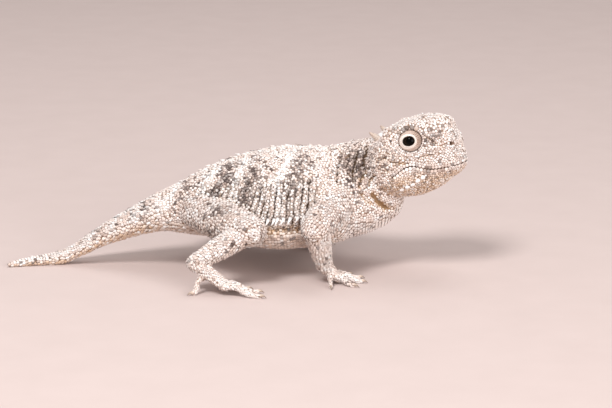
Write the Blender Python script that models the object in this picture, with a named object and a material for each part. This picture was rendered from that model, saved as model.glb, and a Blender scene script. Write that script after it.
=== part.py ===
"""A desert horned lizard at life size, standing still with its head raised.

The animal faces +X and stands on the floor at Z = 0. Its right side, at -Y, is the one towards
the viewer. Every size below is in millimetres, and the meshes are made in metres. The model's
origin is the middle of its footprint box.
"""

import math
import random
from collections import namedtuple

import bmesh
import bpy
from mathutils import Matrix, Vector
from mathutils.bvhtree import BVHTree

MM = 0.001
GAP = 0.3           # clearance between neighbouring pieces
SEED = 7
UP = Vector((0, 0, 1))
ALONG_BODY = Vector((1, 0, 0))
RIGHT, LEFT = -1, 1

# One cross-section of a lofted form: its centre, half-width, reach above and below the centre,
# and how square its upper and lower halves are (2 is an ellipse).
Station = namedtuple("Station", "x y z wide up down upper lower")

# The trunk from the breast to the tip of the tail. z is the height of the fringe line.
TRUNK = [
    Station(24.0, -0.6, 15.6, 1.0, 1.0, 1.0, 2.0, 2.0),
    Station(23.2, -0.6, 15.8, 4.2, 4.0, 3.0, 2.0, 2.0),
    Station(20.6, -0.5, 16.4, 8.2, 7.6, 6.0, 2.1, 2.1),
    Station(16.0, -0.2, 17.0, 11.2, 10.4, 8.4, 2.1, 2.2),
    Station(10.0, 0.0, 17.2, 13.6, 12.4, 9.7, 2.0, 2.3),
    Station(3.5, 0.0, 16.4, 17.0, 13.5, 10.2, 2.0, 2.4),
    Station(-4.0, 0.0, 15.7, 18.8, 14.1, 10.1, 2.0, 2.4),
    Station(-10.0, 0.0, 15.2, 18.0, 13.7, 9.6, 2.0, 2.4),
    Station(-16.0, 0.0, 14.8, 15.0, 12.7, 8.6, 2.0, 2.3),
    Station(-21.5, 0.0, 14.5, 11.4, 11.2, 7.2, 2.1, 2.2),
    Station(-26.5, 0.1, 14.2, 9.2, 9.2, 6.2, 2.1, 2.2),
    Station(-31.0, 0.2, 14.0, 8.0, 6.8, 5.5, 2.1, 2.2),
    Station(-35.0, 0.3, 13.5, 7.1, 5.1, 4.7, 2.1, 2.2),
    Station(-39.5, 0.6, 12.0, 6.0, 3.9, 3.8, 2.0, 2.1),
    Station(-46.0, 1.0, 9.2, 4.7, 3.0, 2.9, 2.0, 2.1),
    Station(-51.5, 1.2, 6.5, 3.6, 2.2, 2.2, 2.0, 2.0),
    Station(-57.0, 1.0, 3.4, 2.7, 1.7, 1.7, 2.0, 2.0),
    Station(-61.5, 0.5, 1.7, 2.1, 1.4, 1.82, 2.0, 2.0),
    Station(-67.5, -0.8, 1.1, 1.4, 1.1, 1.22, 2.0, 2.0),
    Station(-72.5, -2.4, 0.75, 0.8, 0.7, 0.85, 2.0, 2.0),
    Station(-74.0, -3.0, 0.65, 0.35, 0.3, 0.35, 2.0, 2.0),
]
TRUNK_PARTS = [             # name, first and last station, rings, points round, spine length
    ("torso", 0.0, 10.6, 28, 32, 1.6),
    ("tail_base", 10.6, 12.7, 9, 24, 1.15),
    ("tail_middle", 12.7, 15.0, 9, 18, 0.95),
    ("tail_tip", 15.0, 20.0, 15, 12, 0.7),
]
NECK = [
    Station(6.0, 0.0, 21.6, 9.4, 8.0, 8.0, 2.0, 2.0),
    Station(12.5, -0.4, 23.6, 8.6, 7.8, 8.4, 2.0, 2.0),
    Station(18.5, -1.4, 26.0, 7.6, 6.9, 8.0, 2.0, 2.0),
    Station(24.5, -3.2, 28.0, 6.8, 6.2, 7.0, 2.0, 2.0),
]

# The head in its own frame: x runs from the nape to the snout, z is up from the mouth line.
HEAD = [
    Station(-3.4, 0.0, 1.0, 3.6, 3.0, 3.6, 2.0, 2.0),
    Station(-2.4, 0.0, 1.0, 6.6, 5.4, 6.2, 2.1, 2.1),
    Station(0.4, 0.0, 0.9, 9.1, 7.8, 8.0, 2.3, 2.2),
    Station(4.4, 0.0, 0.7, 9.8, 9.2, 8.8, 2.8, 2.3),
    Station(8.4, 0.0, 0.4, 9.3, 10.1, 8.9, 3.2, 2.3),
    Station(12.0, 0.0, 0.1, 8.1, 10.7, 8.1, 3.0, 2.3),
    Station(15.2, 0.0, -0.3, 6.8, 10.5, 6.7, 2.8, 2.2),
    Station(18.0, 0.0, -0.8, 5.3, 9.2, 4.6, 2.7, 2.1),
    Station(20.0, 0.0, -1.0, 3.9, 6.5, 3.2, 2.3, 2.0),
    Station(21.2, 0.0, -1.0, 2.3, 3.3, 1.9, 2.1, 2.0),
    Station(21.7, 0.0, -1.0, 0.7, 0.8, 0.6, 2.0, 2.0),
]
HEAD_PLACE = Vector((19.6, -1.8, 25.6))
HEAD_TURN = 20.0            # degrees towards the viewer
HEAD_RAISE = 14.0           # degrees, snout up

# A soft swelling or hollow: its middle, its reach along each axis, and the push at its middle.
Form = namedtuple("Form", "middle reach push")
HEAD_FORMS = [              # for the left side, mirrored to the right
    Form((9.6, 6.9, 10.0), (4.2, 1.5, 1.5), (0, 0.5, 1.0)),       # brow ridge
    Form((4.8, 6.6, 9.2), (1.6, 1.9, 1.6), (-0.4, 0.5, 1.2)),     # rear corner of the brow
    Form((1.4, 4.6, 8.2), (1.5, 3.4, 2.2), (0, 0, -1.1)),         # step down behind the crown
    Form((9.9, 8.6, 5.6), (3.2, 2.6, 2.6), (0, -1.5, 0)),         # orbit
    Form((2.6, 9.6, 3.0), (3.2, 2.4, 3.0), (0, 0.7, 0)),          # temple
    Form((4.0, 8.8, -3.4), (4.0, 2.4, 2.4), (0, 0.5, -0.3)),      # jaw muscle
    Form((15.6, 5.4, 5.0), (2.4, 1.8, 2.2), (0, -0.6, 0)),        # hollow before the eye
    Form((18.8, 3.2, 3.6), (1.6, 1.3, 1.3), (0.2, 0.3, 0.3)),     # nostril mound
]
EYE_PLACE = Vector((10.0, 5.9, 5.8))
EYE_GAZE = Vector((0.26, 0.95, 0.14)).normalized()
EYE_RADIUS = 2.3
LID_RADIUS = 3.2
LID_OPENING = (1.72, 1.45)   # half-length and half-height of the opening between the lids
CORNEA_RADIUS = 1.5
CORNEA_OUT = 1.2            # from the eye's centre to the cornea's
NOSTRIL = Vector((19.0, 3.6, 3.2))
NOSTRIL_RADIUS = 0.5
MOUTH_CENTRE_X = 9.0
MOUTH_CORNER = 122.0        # degrees round from the snout
MOUTH_GROOVE = 0.3          # radius of the groove between the lips
HORN_LENGTH = 2.0
HORN_RADIUS = 1.0
HORN_ROOT = Vector((1.9, 3.6, 7.0))
HORN_AIM = Vector((-0.78, 0.22, 0.58)).normalized()
TEMPLE_SPINES = [           # root height and root x on the head, length
    (6.4, 0.8, 1.9),
    (3.6, 0.0, 2.2),
    (0.6, 0.2, 2.0),
    (-2.2, 1.4, 1.5),
]

# Each limb's joints on the left side. The right side mirrors them, and the reach says how far
# each side's hand or foot is set ahead of that.
Limb = namedtuple("Limb", "root bend end thick")
LIMBS = {
    "arm": Limb(Vector((9.0, 8.5, 19.4)), Vector((2.4, 20.8, 14.4)), Vector((4.4, 17.6, 4.6)),
                (4.4, 3.7, 3.3, 2.0)),
    "leg": Limb(Vector((-26.5, 5.5, 15.2)), Vector((-13.6, 21.4, 13.8)), Vector((-26.6, 25.6, 7.2)),
                (5.0, 4.0, 3.2, 2.0)),
}
REACH = {("arm", RIGHT): 0.0, ("arm", LEFT): -7.5, ("leg", RIGHT): 0.0, ("leg", LEFT): 2.0}

# A digit: where it leaves the palm and where its tip rests, from the wrist or ankle, and its
# half-thickness at the knuckle.
Digit = namedtuple("Digit", "knuckle tip thick")
FINGERS = [
    Digit((2.2, -2.6, -3.1), (6.2, -6.4, -4.6), 0.72),
    Digit((3.0, -1.4, -3.0), (8.6, -3.2, -4.6), 0.78),
    Digit((3.2, 0.0, -3.0), (9.2, 0.6, -4.6), 0.80),
    Digit((2.6, 1.4, -3.0), (7.2, 4.2, -4.6), 0.78),
    Digit((1.4, 2.2, -3.0), (1.6, 5.6, -4.6), 0.72),
]
TOES = [
    Digit((6.6, 0.4, -4.9), (9.0, -3.6, -7.0), 0.74),
    Digit((7.4, 1.4, -5.0), (12.6, -1.0, -7.0), 0.80),
    Digit((7.6, 2.6, -5.0), (15.2, 2.0, -7.0), 0.84),
    Digit((7.0, 3.8, -5.0), (15.8, 6.2, -7.0), 0.84),
    Digit((1.6, 1.8, -3.6), (-0.6, 3.4, -7.0), 0.76),
]
FRINGE_COUNT = 17
FRINGE_FIRST, FRINGE_LAST = 4.6, 9.2    # in stations
FRINGE_ANGLE = 4.0          # degrees from the widest line
FRINGE_LENGTH = 1.9
SPINE_ROOM = 2.3            # between a limb and the nearest spine of the back
FRINGE_ROOM = 1.7           # between a limb and the nearest scale of the fringe
HEAD_MESH = (26, 30)        # rings, points round
CLAW = 1.5                  # length past the toe pad

SKIN = (0.74, 0.67, 0.60)
HORN = (0.62, 0.52, 0.43)
EYE = (0.015, 0.012, 0.010)


def along(values, t):
    """The smooth curve through values, at t counted in values."""
    i = min(int(t), len(values) - 2)
    f = t - i
    a, b = values[i], values[i + 1]
    before = values[i - 1] if i else 2 * a - b
    after = values[i + 2] if i + 2 < len(values) else 2 * b - a
    tangent_a, tangent_b = (b - before) / 2, (after - a) / 2
    return (
        (2 * f**3 - 3 * f**2 + 1) * a
        + (f**3 - 2 * f**2 + f) * tangent_a
        + (3 * f**2 - 2 * f**3) * b
        + (f**3 - f**2) * tangent_b
    )


class Form3D:
    """A form lofted through stations: point(t, angle) is on its surface, t in stations."""

    def __init__(self, stations, side=Vector((0, 1, 0)), grow=0.0):
        self.centres = [Vector(s[:3]) for s in stations]
        self.sizes = [[s[k] + (grow if k in (3, 4, 5) else 0) for s in stations] for k in range(3, 8)]
        self.last = len(stations) - 1
        self.side = side

    def centre(self, t):
        return along(self.centres, t)

    def axes(self, t):
        """The form's run, side and up directions at t."""
        step = 0.02
        low, high = max(0.0, t - step), min(self.last, t + step)
        run = (self.centre(high) - self.centre(low)).normalized()
        side = (self.side - run * self.side.dot(run)).normalized()
        up = run.cross(side)
        return run, side, up if up.dot(UP) >= 0 or abs(up.z) < 0.05 else -up

    def point(self, t, angle):
        wide, up, down, upper, lower = (along(size, t) for size in self.sizes)
        cos, sin = math.cos(angle), math.sin(angle)
        power = 2 / (upper if sin > 0 else lower)
        reach = up if sin > 0 else down
        _, side, above = self.axes(t)
        return (
            self.centre(t)
            + side * math.copysign(wide * abs(cos) ** power, cos)
            + above * math.copysign(reach * abs(sin) ** power, sin)
        )

    def normal(self, t, angle):
        turn = 0.03
        across = self.point(t, angle + turn) - self.point(t, angle - turn)
        lengthways = self.point(min(self.last, t + turn), angle) - self.point(max(0, t - turn), angle)
        out = across.cross(lengthways).normalized()
        return out if out.dot(self.point(t, angle) - self.centre(t)) > 0 else -out

    def rings(self, first, last, count, around):
        return [
            [self.point(first + (last - first) * i / (count - 1), 2 * math.pi * k / around)
             for k in range(around)]
            for i in range(count)
        ]


def material(name, colour, roughness):
    made = bpy.data.materials.new(name)
    made.use_nodes = True
    shader = made.node_tree.nodes["Principled BSDF"]
    shader.inputs["Base Color"].default_value = (*colour, 1)
    shader.inputs["Roughness"].default_value = roughness
    made.diffuse_color = (*colour, 1)
    return made


def piece(name, mesh_maker, finish):
    """A new object in the lizard's collection, made by mesh_maker on an empty bmesh."""
    shape = bmesh.new()
    mesh_maker(shape)
    bmesh.ops.recalc_face_normals(shape, faces=shape.faces)
    mesh = bpy.data.meshes.new(name)
    shape.to_mesh(mesh)
    shape.free()
    mesh.transform(Matrix.Scale(MM, 4))
    mesh.materials.append(finish)
    made = bpy.data.objects.new(name, mesh)
    LIZARD.objects.link(made)
    return made


def skin_over(rings):
    """A mesh maker for a closed tube through the rings, each end closed round its middle."""

    def make(shape):
        rows = [[shape.verts.new(p) for p in ring] for ring in rings]
        for row, after in zip(rows, rows[1:]):
            for k in range(len(row)):
                n = (k + 1) % len(row)
                shape.faces.new((row[k], row[n], after[n], after[k]))
        for row in (rows[0], rows[-1]):
            middle = shape.verts.new(sum((v.co for v in row), Vector()) / len(row))
            for k in range(len(row)):
                shape.faces.new((row[k - 1], row[k], middle))

    return make


def placed(maker, matrix):
    """The same mesh maker, with its shape moved by the matrix."""

    def make(shape):
        maker(shape)
        bmesh.ops.transform(shape, matrix=matrix, verts=shape.verts)

    return make


def spine(root, aim, length, radius, flat=1.0, sides=5, bend=0.0):
    """A mesh maker for a tapered spine whose root is sunk in by half its radius."""
    aim = aim.normalized()
    across = aim.cross(UP if abs(aim.z) < 0.9 else ALONG_BODY).normalized()
    over = across.cross(aim)
    foot = root - aim * 0.5 * radius

    def make(shape):
        def ring(distance, size):
            centre = foot + aim * distance + over * bend * (distance / length) ** 2
            return [
                centre
                + across * size * math.cos(2 * math.pi * k / sides)
                + over * size * flat * math.sin(2 * math.pi * k / sides)
                for k in range(sides)
            ]

        bottom = [shape.verts.new(p) for p in ring(0, radius)]
        tip = shape.verts.new(foot + aim * (length + 0.5 * radius) + over * bend)
        shape.faces.new(bottom)
        for k in range(sides):
            shape.faces.new((bottom[k - 1], bottom[k], tip))

    return make


def joined(base, makers):
    """Fuses the shapes that the makers make with the base, as one closed body."""
    if not makers:
        return base
    extras = bpy.data.collections.new(base.name + "_pieces")
    bpy.context.scene.collection.children.link(extras)
    for number, maker in enumerate(makers):
        extra = piece(f"{base.name}_{number}", maker, base.data.materials[0])
        LIZARD.objects.unlink(extra)
        extras.objects.link(extra)
    fuse = base.modifiers.new("fuse", "BOOLEAN")
    fuse.operation = "UNION"
    fuse.operand_type = "COLLECTION"
    fuse.collection = extras
    fuse.solver = "MANIFOLD"
    apply_modifiers(base)
    for extra in list(extras.objects):
        bpy.data.objects.remove(extra)
    bpy.data.collections.remove(extras)
    return base


def cut(base, maker, name):
    """Cuts the maker's shape from the base."""
    cutter = piece(f"{base.name}_{name}", maker, base.data.materials[0])
    LIZARD.objects.unlink(cutter)
    CUTTERS.objects.link(cutter)
    away = base.modifiers.new(name, "BOOLEAN")
    away.operation = "DIFFERENCE"
    away.object = cutter
    away.solver = "MANIFOLD"
    apply_modifiers(base)
    bpy.data.objects.remove(cutter)
    return base


def apply_modifiers(base):
    bpy.context.view_layer.update()
    graph = bpy.context.evaluated_depsgraph_get()
    made = bpy.data.meshes.new_from_object(base.evaluated_get(graph))
    made.name = base.name
    base.modifiers.clear()
    base.data = made


def trim(base, place, outward):
    """Cuts the base flat at a plane, and removes what lies beyond it, outward."""
    shape = bmesh.new()
    shape.from_mesh(base.data)
    bmesh.ops.bisect_plane(
        shape,
        geom=[*shape.verts, *shape.edges, *shape.faces],
        plane_co=place * MM,
        plane_no=outward,
        clear_outer=True,
    )
    rim = [e for e in shape.edges if e.is_boundary]
    bmesh.ops.holes_fill(shape, edges=rim)
    bmesh.ops.recalc_face_normals(shape, faces=shape.faces)
    shape.to_mesh(base.data)
    shape.free()
    return base


def keep_largest(base):
    """Drops every closed surface but the largest one."""
    shape = bmesh.new()
    shape.from_mesh(base.data)
    waiting, islands = set(shape.verts), []
    while waiting:
        island, front = set(), [waiting.pop()]
        while front:
            vertex = front.pop()
            island.add(vertex)
            for edge in vertex.link_edges:
                other = edge.other_vert(vertex)
                if other in waiting:
                    waiting.discard(other)
                    front.append(other)
        islands.append(island)
    islands.sort(key=len)
    dropped = [v for island in islands[:-1] for v in island]
    bmesh.ops.delete(shape, geom=dropped, context="VERTS")
    bmesh.ops.triangulate(shape, faces=shape.faces)
    shape.to_mesh(base.data)
    shape.free()
    base.data.set_sharp_from_angle(angle=math.radians(40))
    return base


def mirrored(vector, side):
    return Vector((vector[0], vector[1] * side, vector[2]))


def trunk_spines(form, rows, chance, clear_of):
    """Spines in loose rows along a form: each row is (angle, first, last, count, length)."""
    makers = []
    for angle, first, last, count, length in rows:
        for i in range(count):
            t = first + (last - first) * (i + chance.uniform(-0.2, 0.2)) / max(1, count - 1)
            t = min(max(t, first), last)
            turn = math.radians(angle + chance.uniform(-4, 4))
            size = length * chance.uniform(0.8, 1.15)
            root, out = form.point(t, turn), form.normal(t, turn)
            run = form.axes(t)[0]
            if not clear_of(root):
                continue
            makers.append(spine(root, out + run * 0.55, size, max(0.5, size * 0.42), sides=4))
    return makers


def both_sides(rows):
    """Rows given for the left side, with the same rows at the mirrored angle."""
    return rows + [(180 - row[0], *row[1:]) for row in rows]


def limb_joints(kind, side):
    """Where a limb leaves the trunk, its elbow or knee, and its wrist or ankle."""
    limb = LIMBS[kind]
    reach = Vector((REACH[kind, side], 0, 0))
    return (
        mirrored(limb.root, side),
        mirrored(limb.bend, side) + reach * 0.5,
        mirrored(limb.end, side) + reach,
    )


def clear_of_limbs(root, room):
    """Whether a spine's root is clear of where the limbs grow from the trunk."""
    for kind, side in REACH:
        start, end, _ = limb_joints(kind, side)
        run = end - start
        share = min(max((root - start).dot(run) / run.length_squared, 0), 1)
        near, far = LIMBS[kind].thick[:2]
        if (root - start - run * share).length < near + (far - near) * share + room:
            return False
    return True


def clear_of_others(root):
    """Whether a spine's root on the trunk is clear of the limbs, and of the neck in front."""
    return clear_of_limbs(root, SPINE_ROOM) and (root.x < 6.0 or root.z < 18.0)


def trunk_rings(first, last, count, around, grow=0.0):
    return Form3D(TRUNK, grow=grow).rings(first, last, count, around)


def back_rows(name, low, high, length):
    """The rows of spines along one length of the trunk: angle, first, last, count, length."""
    if name == "torso":
        return both_sides([
            (82, 3.6, high, 11, length),
            (62, 3.4, high, 11, length * 1.1),
            (43, 3.6, 9.9, 10, length),
            (24, 4.6, 8.8, 8, length * 0.8),
        ])
    return both_sides([(8, low, high, 6, length), (50, low, high, 5, length * 0.85)])


def fringe(form, chance):
    """The row of long scales along the edge of the belly."""
    makers = []
    for side in (RIGHT, LEFT):
        for i in range(FRINGE_COUNT):
            t = FRINGE_FIRST + (FRINGE_LAST - FRINGE_FIRST) * i / (FRINGE_COUNT - 1)
            angle = math.radians(FRINGE_ANGLE if side == LEFT else 180 - FRINGE_ANGLE)
            root, out = form.point(t, angle), form.normal(t, angle)
            aim = out + form.axes(t)[0] * 0.25 - UP * 0.6
            size = FRINGE_LENGTH * chance.uniform(0.85, 1.15)
            if clear_of_limbs(root, FRINGE_ROOM):
                makers.append(spine(root, aim, size, 0.62, flat=0.8))
    return makers


def half_gap(t):
    """Half the clearance, in stations, at t along the trunk."""
    form = Form3D(TRUNK)
    step = 0.05
    return GAP * step / (form.centre(t + step) - form.centre(t - step)).length


def make_trunk(chance):
    form = Form3D(TRUNK)
    for name, first, last, count, around, length in TRUNK_PARTS:
        low = first + half_gap(first) if first else first
        high = last - half_gap(last) if last < form.last else last
        body = piece(name, skin_over(form.rings(low, high, count, around)), FINISH["skin"])
        top = form.last - 1.6 if name == "tail_tip" else high - 0.15
        rows = back_rows(name, low + 0.15, top, length)
        makers = trunk_spines(form, rows, chance, clear_of_others)
        if name == "torso":
            makers += fringe(form, chance)
        joined(body, makers)
        if name == "torso":
            cut(body, placed(skin_over(head_rings(*HEAD_MESH, GAP * 1.4)), head_matrix()), "throat")
        on_floor(keep_largest(body))


def on_floor(base):
    """Trims a piece flat where it rests on the floor."""
    if min(v.co.z for v in base.data.vertices) < 0:
        trim(base, Vector((0, 0, 0)), -UP)
    return keep_largest(base)


def pushed(point, forms):
    """A point of the head, moved by the soft forms on both of its sides."""
    moved = point.copy()
    for form in forms:
        for side in (RIGHT, LEFT):
            middle, push = mirrored(form.middle, side), mirrored(form.push, side)
            away = [(point[k] - middle[k]) / form.reach[k] for k in range(3)]
            moved += push * math.exp(-sum(d * d for d in away))
    return moved


def head_rings(count, around, grow=0.0):
    form = Form3D(HEAD, side=Vector((0, 1, 0)))
    rings = form.rings(0.0, form.last, count, around)
    middle = Vector((8, 0, 1))
    return [
        [pushed(p, HEAD_FORMS) + (p - middle).normalized() * grow for p in ring] for ring in rings
    ]


def head_matrix():
    turn = Matrix.Rotation(math.radians(-HEAD_TURN), 4, "Z")
    return Matrix.Translation(HEAD_PLACE) @ turn @ Matrix.Rotation(math.radians(-HEAD_RAISE), 4, "Y")


def ball(centre, radius, columns, rows):
    def make(shape):
        bmesh.ops.create_uvsphere(
            shape, u_segments=columns, v_segments=rows, radius=radius,
            matrix=Matrix.Translation(centre),
        )

    return make


def gaze_frame(side):
    """The matrix from an eye's own frame, z outward, to the head's."""
    gaze = mirrored(EYE_GAZE, side)
    forward = (ALONG_BODY - gaze * gaze.x).normalized()
    upward = gaze.cross(forward)
    frame = Matrix((forward, upward, gaze)).transposed().to_4x4()
    return Matrix.Translation(mirrored(EYE_PLACE, side)) @ frame


def lid_slot(shape):
    """The opening between the lids, in the eye's own frame."""
    bmesh.ops.create_cone(
        shape, cap_ends=True, segments=20, radius1=1.0, radius2=1.12, depth=4.0,
        matrix=Matrix.Translation((0, 0, 2.0 + 1.0)),
    )
    bmesh.ops.scale(shape, vec=(*LID_OPENING, 1), verts=shape.verts)


def mouth_height(angle):
    """Height of the mouth line, by degrees round from the snout."""
    around = abs(angle)
    hump = 1.6 * math.exp(-(((around - 88) / 22) ** 2))
    droop = -1.0 * math.exp(-(((around - 118) / 14) ** 2))
    return -2.3 + hump + droop + 1.2 * max(0.0, (around - 30) / 92)


def surface_hit(tree, start, aim):
    place, normal, _, _ = tree.ray_cast(start, aim)
    return place, normal


def mouth_groove(tree):
    """A mesh maker for the groove between the lips, laid on the head's surface."""
    steps, sides = 26, 4
    path = []
    for i in range(steps):
        degrees = MOUTH_CORNER * (2 * i / (steps - 1) - 1)
        angle = math.radians(degrees)
        start = Vector((MOUTH_CENTRE_X, 0, mouth_height(degrees)))
        place, _ = surface_hit(tree, start, Vector((math.cos(angle), math.sin(angle), 0)))
        path.append(place)
    rings = []
    for i, place in enumerate(path):
        run = (path[min(i + 1, steps - 1)] - path[max(i - 1, 0)]).normalized()
        across = run.cross(UP).normalized()
        over = across.cross(run)
        taper = min(1.0, 0.35 + 0.3 * min(i, steps - 1 - i))
        rings.append([
            place
            + across * MOUTH_GROOVE * 1.3 * taper * math.cos(2 * math.pi * k / sides)
            + over * MOUTH_GROOVE * taper * math.sin(2 * math.pi * k / sides)
            for k in range(sides)
        ])
    return skin_over(rings)


def head_spines(tree):
    """The short spines of the temples, the brow corners and the crown."""
    makers = []
    for side in (RIGHT, LEFT):
        for height, x, length in TEMPLE_SPINES:
            place, out = surface_hit(tree, Vector((x, 0, height)), Vector((-0.15, side, 0)))
            aim = out + Vector((-0.7, 0.3 * side, 0.05))
            makers.append(spine(place, aim, length, 0.8, sides=6))
        place, out = surface_hit(tree, Vector((3.4, 6.6 * side, 6.0)), UP)
        makers.append(spine(place, Vector((-0.85, 0.35 * side, 0.5)), 1.1, 0.85, sides=6))
        for x, y, length in ((7.4, 7.0, 0.7), (9.8, 7.2, 0.7), (12.2, 6.6, 0.6), (3.0, 1.4, 0.8)):
            place, out = surface_hit(tree, Vector((x, y * side, 5.0)), UP)
            makers.append(spine(place, out + Vector((-0.3, 0, 0)), length, 0.6))
        for i in range(5):
            place, out = surface_hit(
                tree, Vector((8.4 + 2.0 * i, 0, -5.2 + 0.3 * i)), Vector((0, side, -0.18))
            )
            makers.append(spine(place, out + Vector((-0.5, 0, -0.3)), 0.8, 0.55))
    return makers


def make_head():
    head = piece("head", skin_over(head_rings(*HEAD_MESH)), FINISH["skin"])
    shape = bmesh.new()
    shape.from_mesh(head.data)
    bmesh.ops.scale(shape, vec=(1 / MM,) * 3, verts=shape.verts)
    tree = BVHTree.FromBMesh(shape)
    lids = [ball(mirrored(EYE_PLACE, side), LID_RADIUS, 16, 10) for side in (RIGHT, LEFT)]
    joined(head, lids + head_spines(tree))
    for side in (RIGHT, LEFT):
        word = "right" if side == RIGHT else "left"
        cut(head, ball(mirrored(EYE_PLACE, side), EYE_RADIUS + GAP, 14, 9), f"socket_{word}")
        cut(head, placed(lid_slot, gaze_frame(side)), f"opening_{word}")
        place, out = surface_hit(tree, mirrored(NOSTRIL, side) * 0.8, mirrored(NOSTRIL, side))
        cut(head, ball(place + out * 0.1, NOSTRIL_RADIUS, 8, 6), f"nostril_{word}")
    cut(head, mouth_groove(tree), "mouth")
    shape.free()
    head.data.transform(rescaled(head_matrix()))
    return keep_largest(head)


def rescaled(matrix):
    """A matrix in millimetres as one in metres."""
    made = matrix.copy()
    made.translation *= MM
    return made


def make_eyes():
    for side, word in ((RIGHT, "right"), (LEFT, "left")):
        gaze = mirrored(EYE_GAZE, side)
        eye = piece(f"eye_{word}", ball(mirrored(EYE_PLACE, side), EYE_RADIUS, 14, 9), FINISH["eye"])
        cornea = ball(mirrored(EYE_PLACE, side) + gaze * CORNEA_OUT, CORNEA_RADIUS, 12, 7)
        joined(eye, [cornea])
        eye.data.transform(rescaled(head_matrix()))
        keep_largest(eye)


def horn_maker(side):
    """A short horn, curved a little upward, with its foot clear of the head."""
    aim = mirrored(HORN_AIM, side)
    root = mirrored(HORN_ROOT, side)
    rings, sides, steps = [], 9, 6
    across = aim.cross(UP).normalized()
    over = across.cross(aim)
    for i in range(steps):
        share = i / (steps - 1)
        radius = HORN_RADIUS * (1 - share) ** 0.8 + 0.12
        centre = root + aim * (HORN_LENGTH + 1.5) * share + over * 0.5 * share**2
        rings.append([
            centre + across * radius * math.cos(2 * math.pi * k / sides)
            + over * radius * math.sin(2 * math.pi * k / sides)
            for k in range(sides)
        ])
    return skin_over(rings)


def make_horns():
    """The two horns at the back of the crown, trimmed to stand on the head's surface."""
    for side, word in ((RIGHT, "right"), (LEFT, "left")):
        horn = piece(f"horn_{word}", horn_maker(side), FINISH["horn"])
        cut(horn, skin_over(head_rings(*HEAD_MESH, GAP)), "seat")
        horn.data.transform(rescaled(head_matrix()))
        keep_largest(horn)


def make_neck(chance):
    form = Form3D(NECK)
    neck = piece("neck", skin_over(form.rings(0.0, form.last, 16, 32)), FINISH["skin"])
    rows = both_sides([(70, 1.0, 2.0, 3, 1.3), (30, 0.9, 1.8, 3, 1.2), (5, 1.2, 1.9, 2, 1.4)])

    def clear(root):
        local = head_matrix().inverted() @ root
        return local.x < -3.2

    joined(neck, trunk_spines(form, rows, chance, clear))
    cut(neck, skin_over(trunk_rings(0.0, 9.0, 26, 32, GAP)), "shoulders")
    cut(neck, placed(skin_over(head_rings(*HEAD_MESH, GAP * 1.4)), head_matrix()), "nape")
    return keep_largest(neck)


def tapered(start, end, sizes, swell, count, around, side_hint):
    """Rings of a limb from start to end: half-thickness by sizes, rounded at both ends."""
    run = end - start
    length = run.length
    run.normalize()
    side = side_hint.cross(run).normalized()
    over = run.cross(side)
    rings = []
    for i in range(count):
        share = i / (count - 1)
        distance = -sizes[0] + (length + sizes[0] + sizes[-1]) * (0.5 - 0.5 * math.cos(math.pi * share))
        radius = limb_radius(sizes, swell, min(max(distance / length, 0), 1))
        beyond = max(-distance / sizes[0], (distance - length) / sizes[-1], 0)
        radius *= math.sqrt(max(1 - beyond**2, 0.02))
        rings.append([
            start + run * distance
            + side * radius * 1.06 * math.cos(2 * math.pi * k / around)
            + over * radius * 0.94 * math.sin(2 * math.pi * k / around)
            for k in range(around)
        ])
    return rings


def limb_radius(sizes, swell, t):
    """Half-thickness of a limb segment, t of the way along it."""
    return along(sizes, t * (len(sizes) - 1)) + swell * math.sin(math.pi * t) ** 2


def row_of_spines(start, end, sizes, swell, back, shares, length, chance):
    """Pointed scales in three rows along a limb, the middle one along its edge at back."""
    makers = []
    run = (end - start).normalized()
    for share in shares:
        radius = limb_radius(sizes, swell, share)
        for turn in (0.0, 52.0, -52.0):
            out = Matrix.Rotation(math.radians(turn + chance.uniform(-8, 8)), 3, run) @ back
            out = (out - run * out.dot(run)).normalized()
            root = start.lerp(end, share + chance.uniform(-0.03, 0.03)) + out * radius
            size = length * chance.uniform(0.8, 1.15)
            makers.append(spine(root, out + run * 0.7, size, 0.5, sides=4))
    return makers


def make_limb(kind, side, chance):
    """One limb: two segments and a hand or foot, from the trunk outward."""
    word = "right" if side == RIGHT else "left"
    names = ("upper_arm", "forearm", "hand") if kind == "arm" else ("thigh", "shin", "foot")
    root, bend, end = limb_joints(kind, side)
    thick = LIMBS[kind].thick
    hint = Vector((0, 0, 1)) if kind == "leg" else Vector((1, 0, 0.2))

    upper = piece(
        f"{names[0]}_{word}",
        skin_over(tapered(root, bend, thick[:2], 0.5, 12, 18, hint)), FINISH["skin"],
    )
    back = Vector((-0.8, 0, 0.25)) if kind == "arm" else Vector((0.1, 0.25 * side, 0.9))
    shares = (0.3, 0.5, 0.7, 0.9) if kind == "arm" else (0.45, 0.65, 0.85)
    joined(upper, row_of_spines(root, bend, thick[:2], 0.5, back, shares, 1.2, chance))
    trunk = skin_over(trunk_rings(0.0, 14.0, 40, 32, GAP * 1.4))
    cut(upper, trunk, "side")
    keep_largest(upper)

    lower = piece(
        f"{names[1]}_{word}",
        skin_over(tapered(bend, end, thick[2:], 0.25, 12, 16, ALONG_BODY + UP * 0.1)), FINISH["skin"],
    )
    back = Vector((-1, 0, 0)) if kind == "arm" else Vector((-0.5, 0.2 * side, 0.8))
    shares = (0.4, 0.56, 0.72, 0.88) if kind == "arm" else (0.42, 0.56, 0.7, 0.84)
    joined(lower, row_of_spines(bend, end, thick[2:], 0.25, back, shares, 1.05, chance))
    above = tapered(root, bend, [r + GAP for r in thick[:2]], 0.5, 12, 18, hint)
    cut(lower, skin_over(above), "joint")
    cut(lower, trunk, "side")
    keep_largest(lower)

    digits = FINGERS if kind == "arm" else TOES
    foot = piece(f"{names[2]}_{word}", palm(digits, end, side, thick[3]), FINISH["skin"])
    joined(foot, [digit_maker(digit, end, side) for digit in digits])
    above = tapered(bend, end, [r + GAP for r in thick[2:]], 0.25, 12, 16, ALONG_BODY + UP * 0.1)
    cut(foot, skin_over(above), "joint")
    on_floor(keep_largest(foot))


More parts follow.
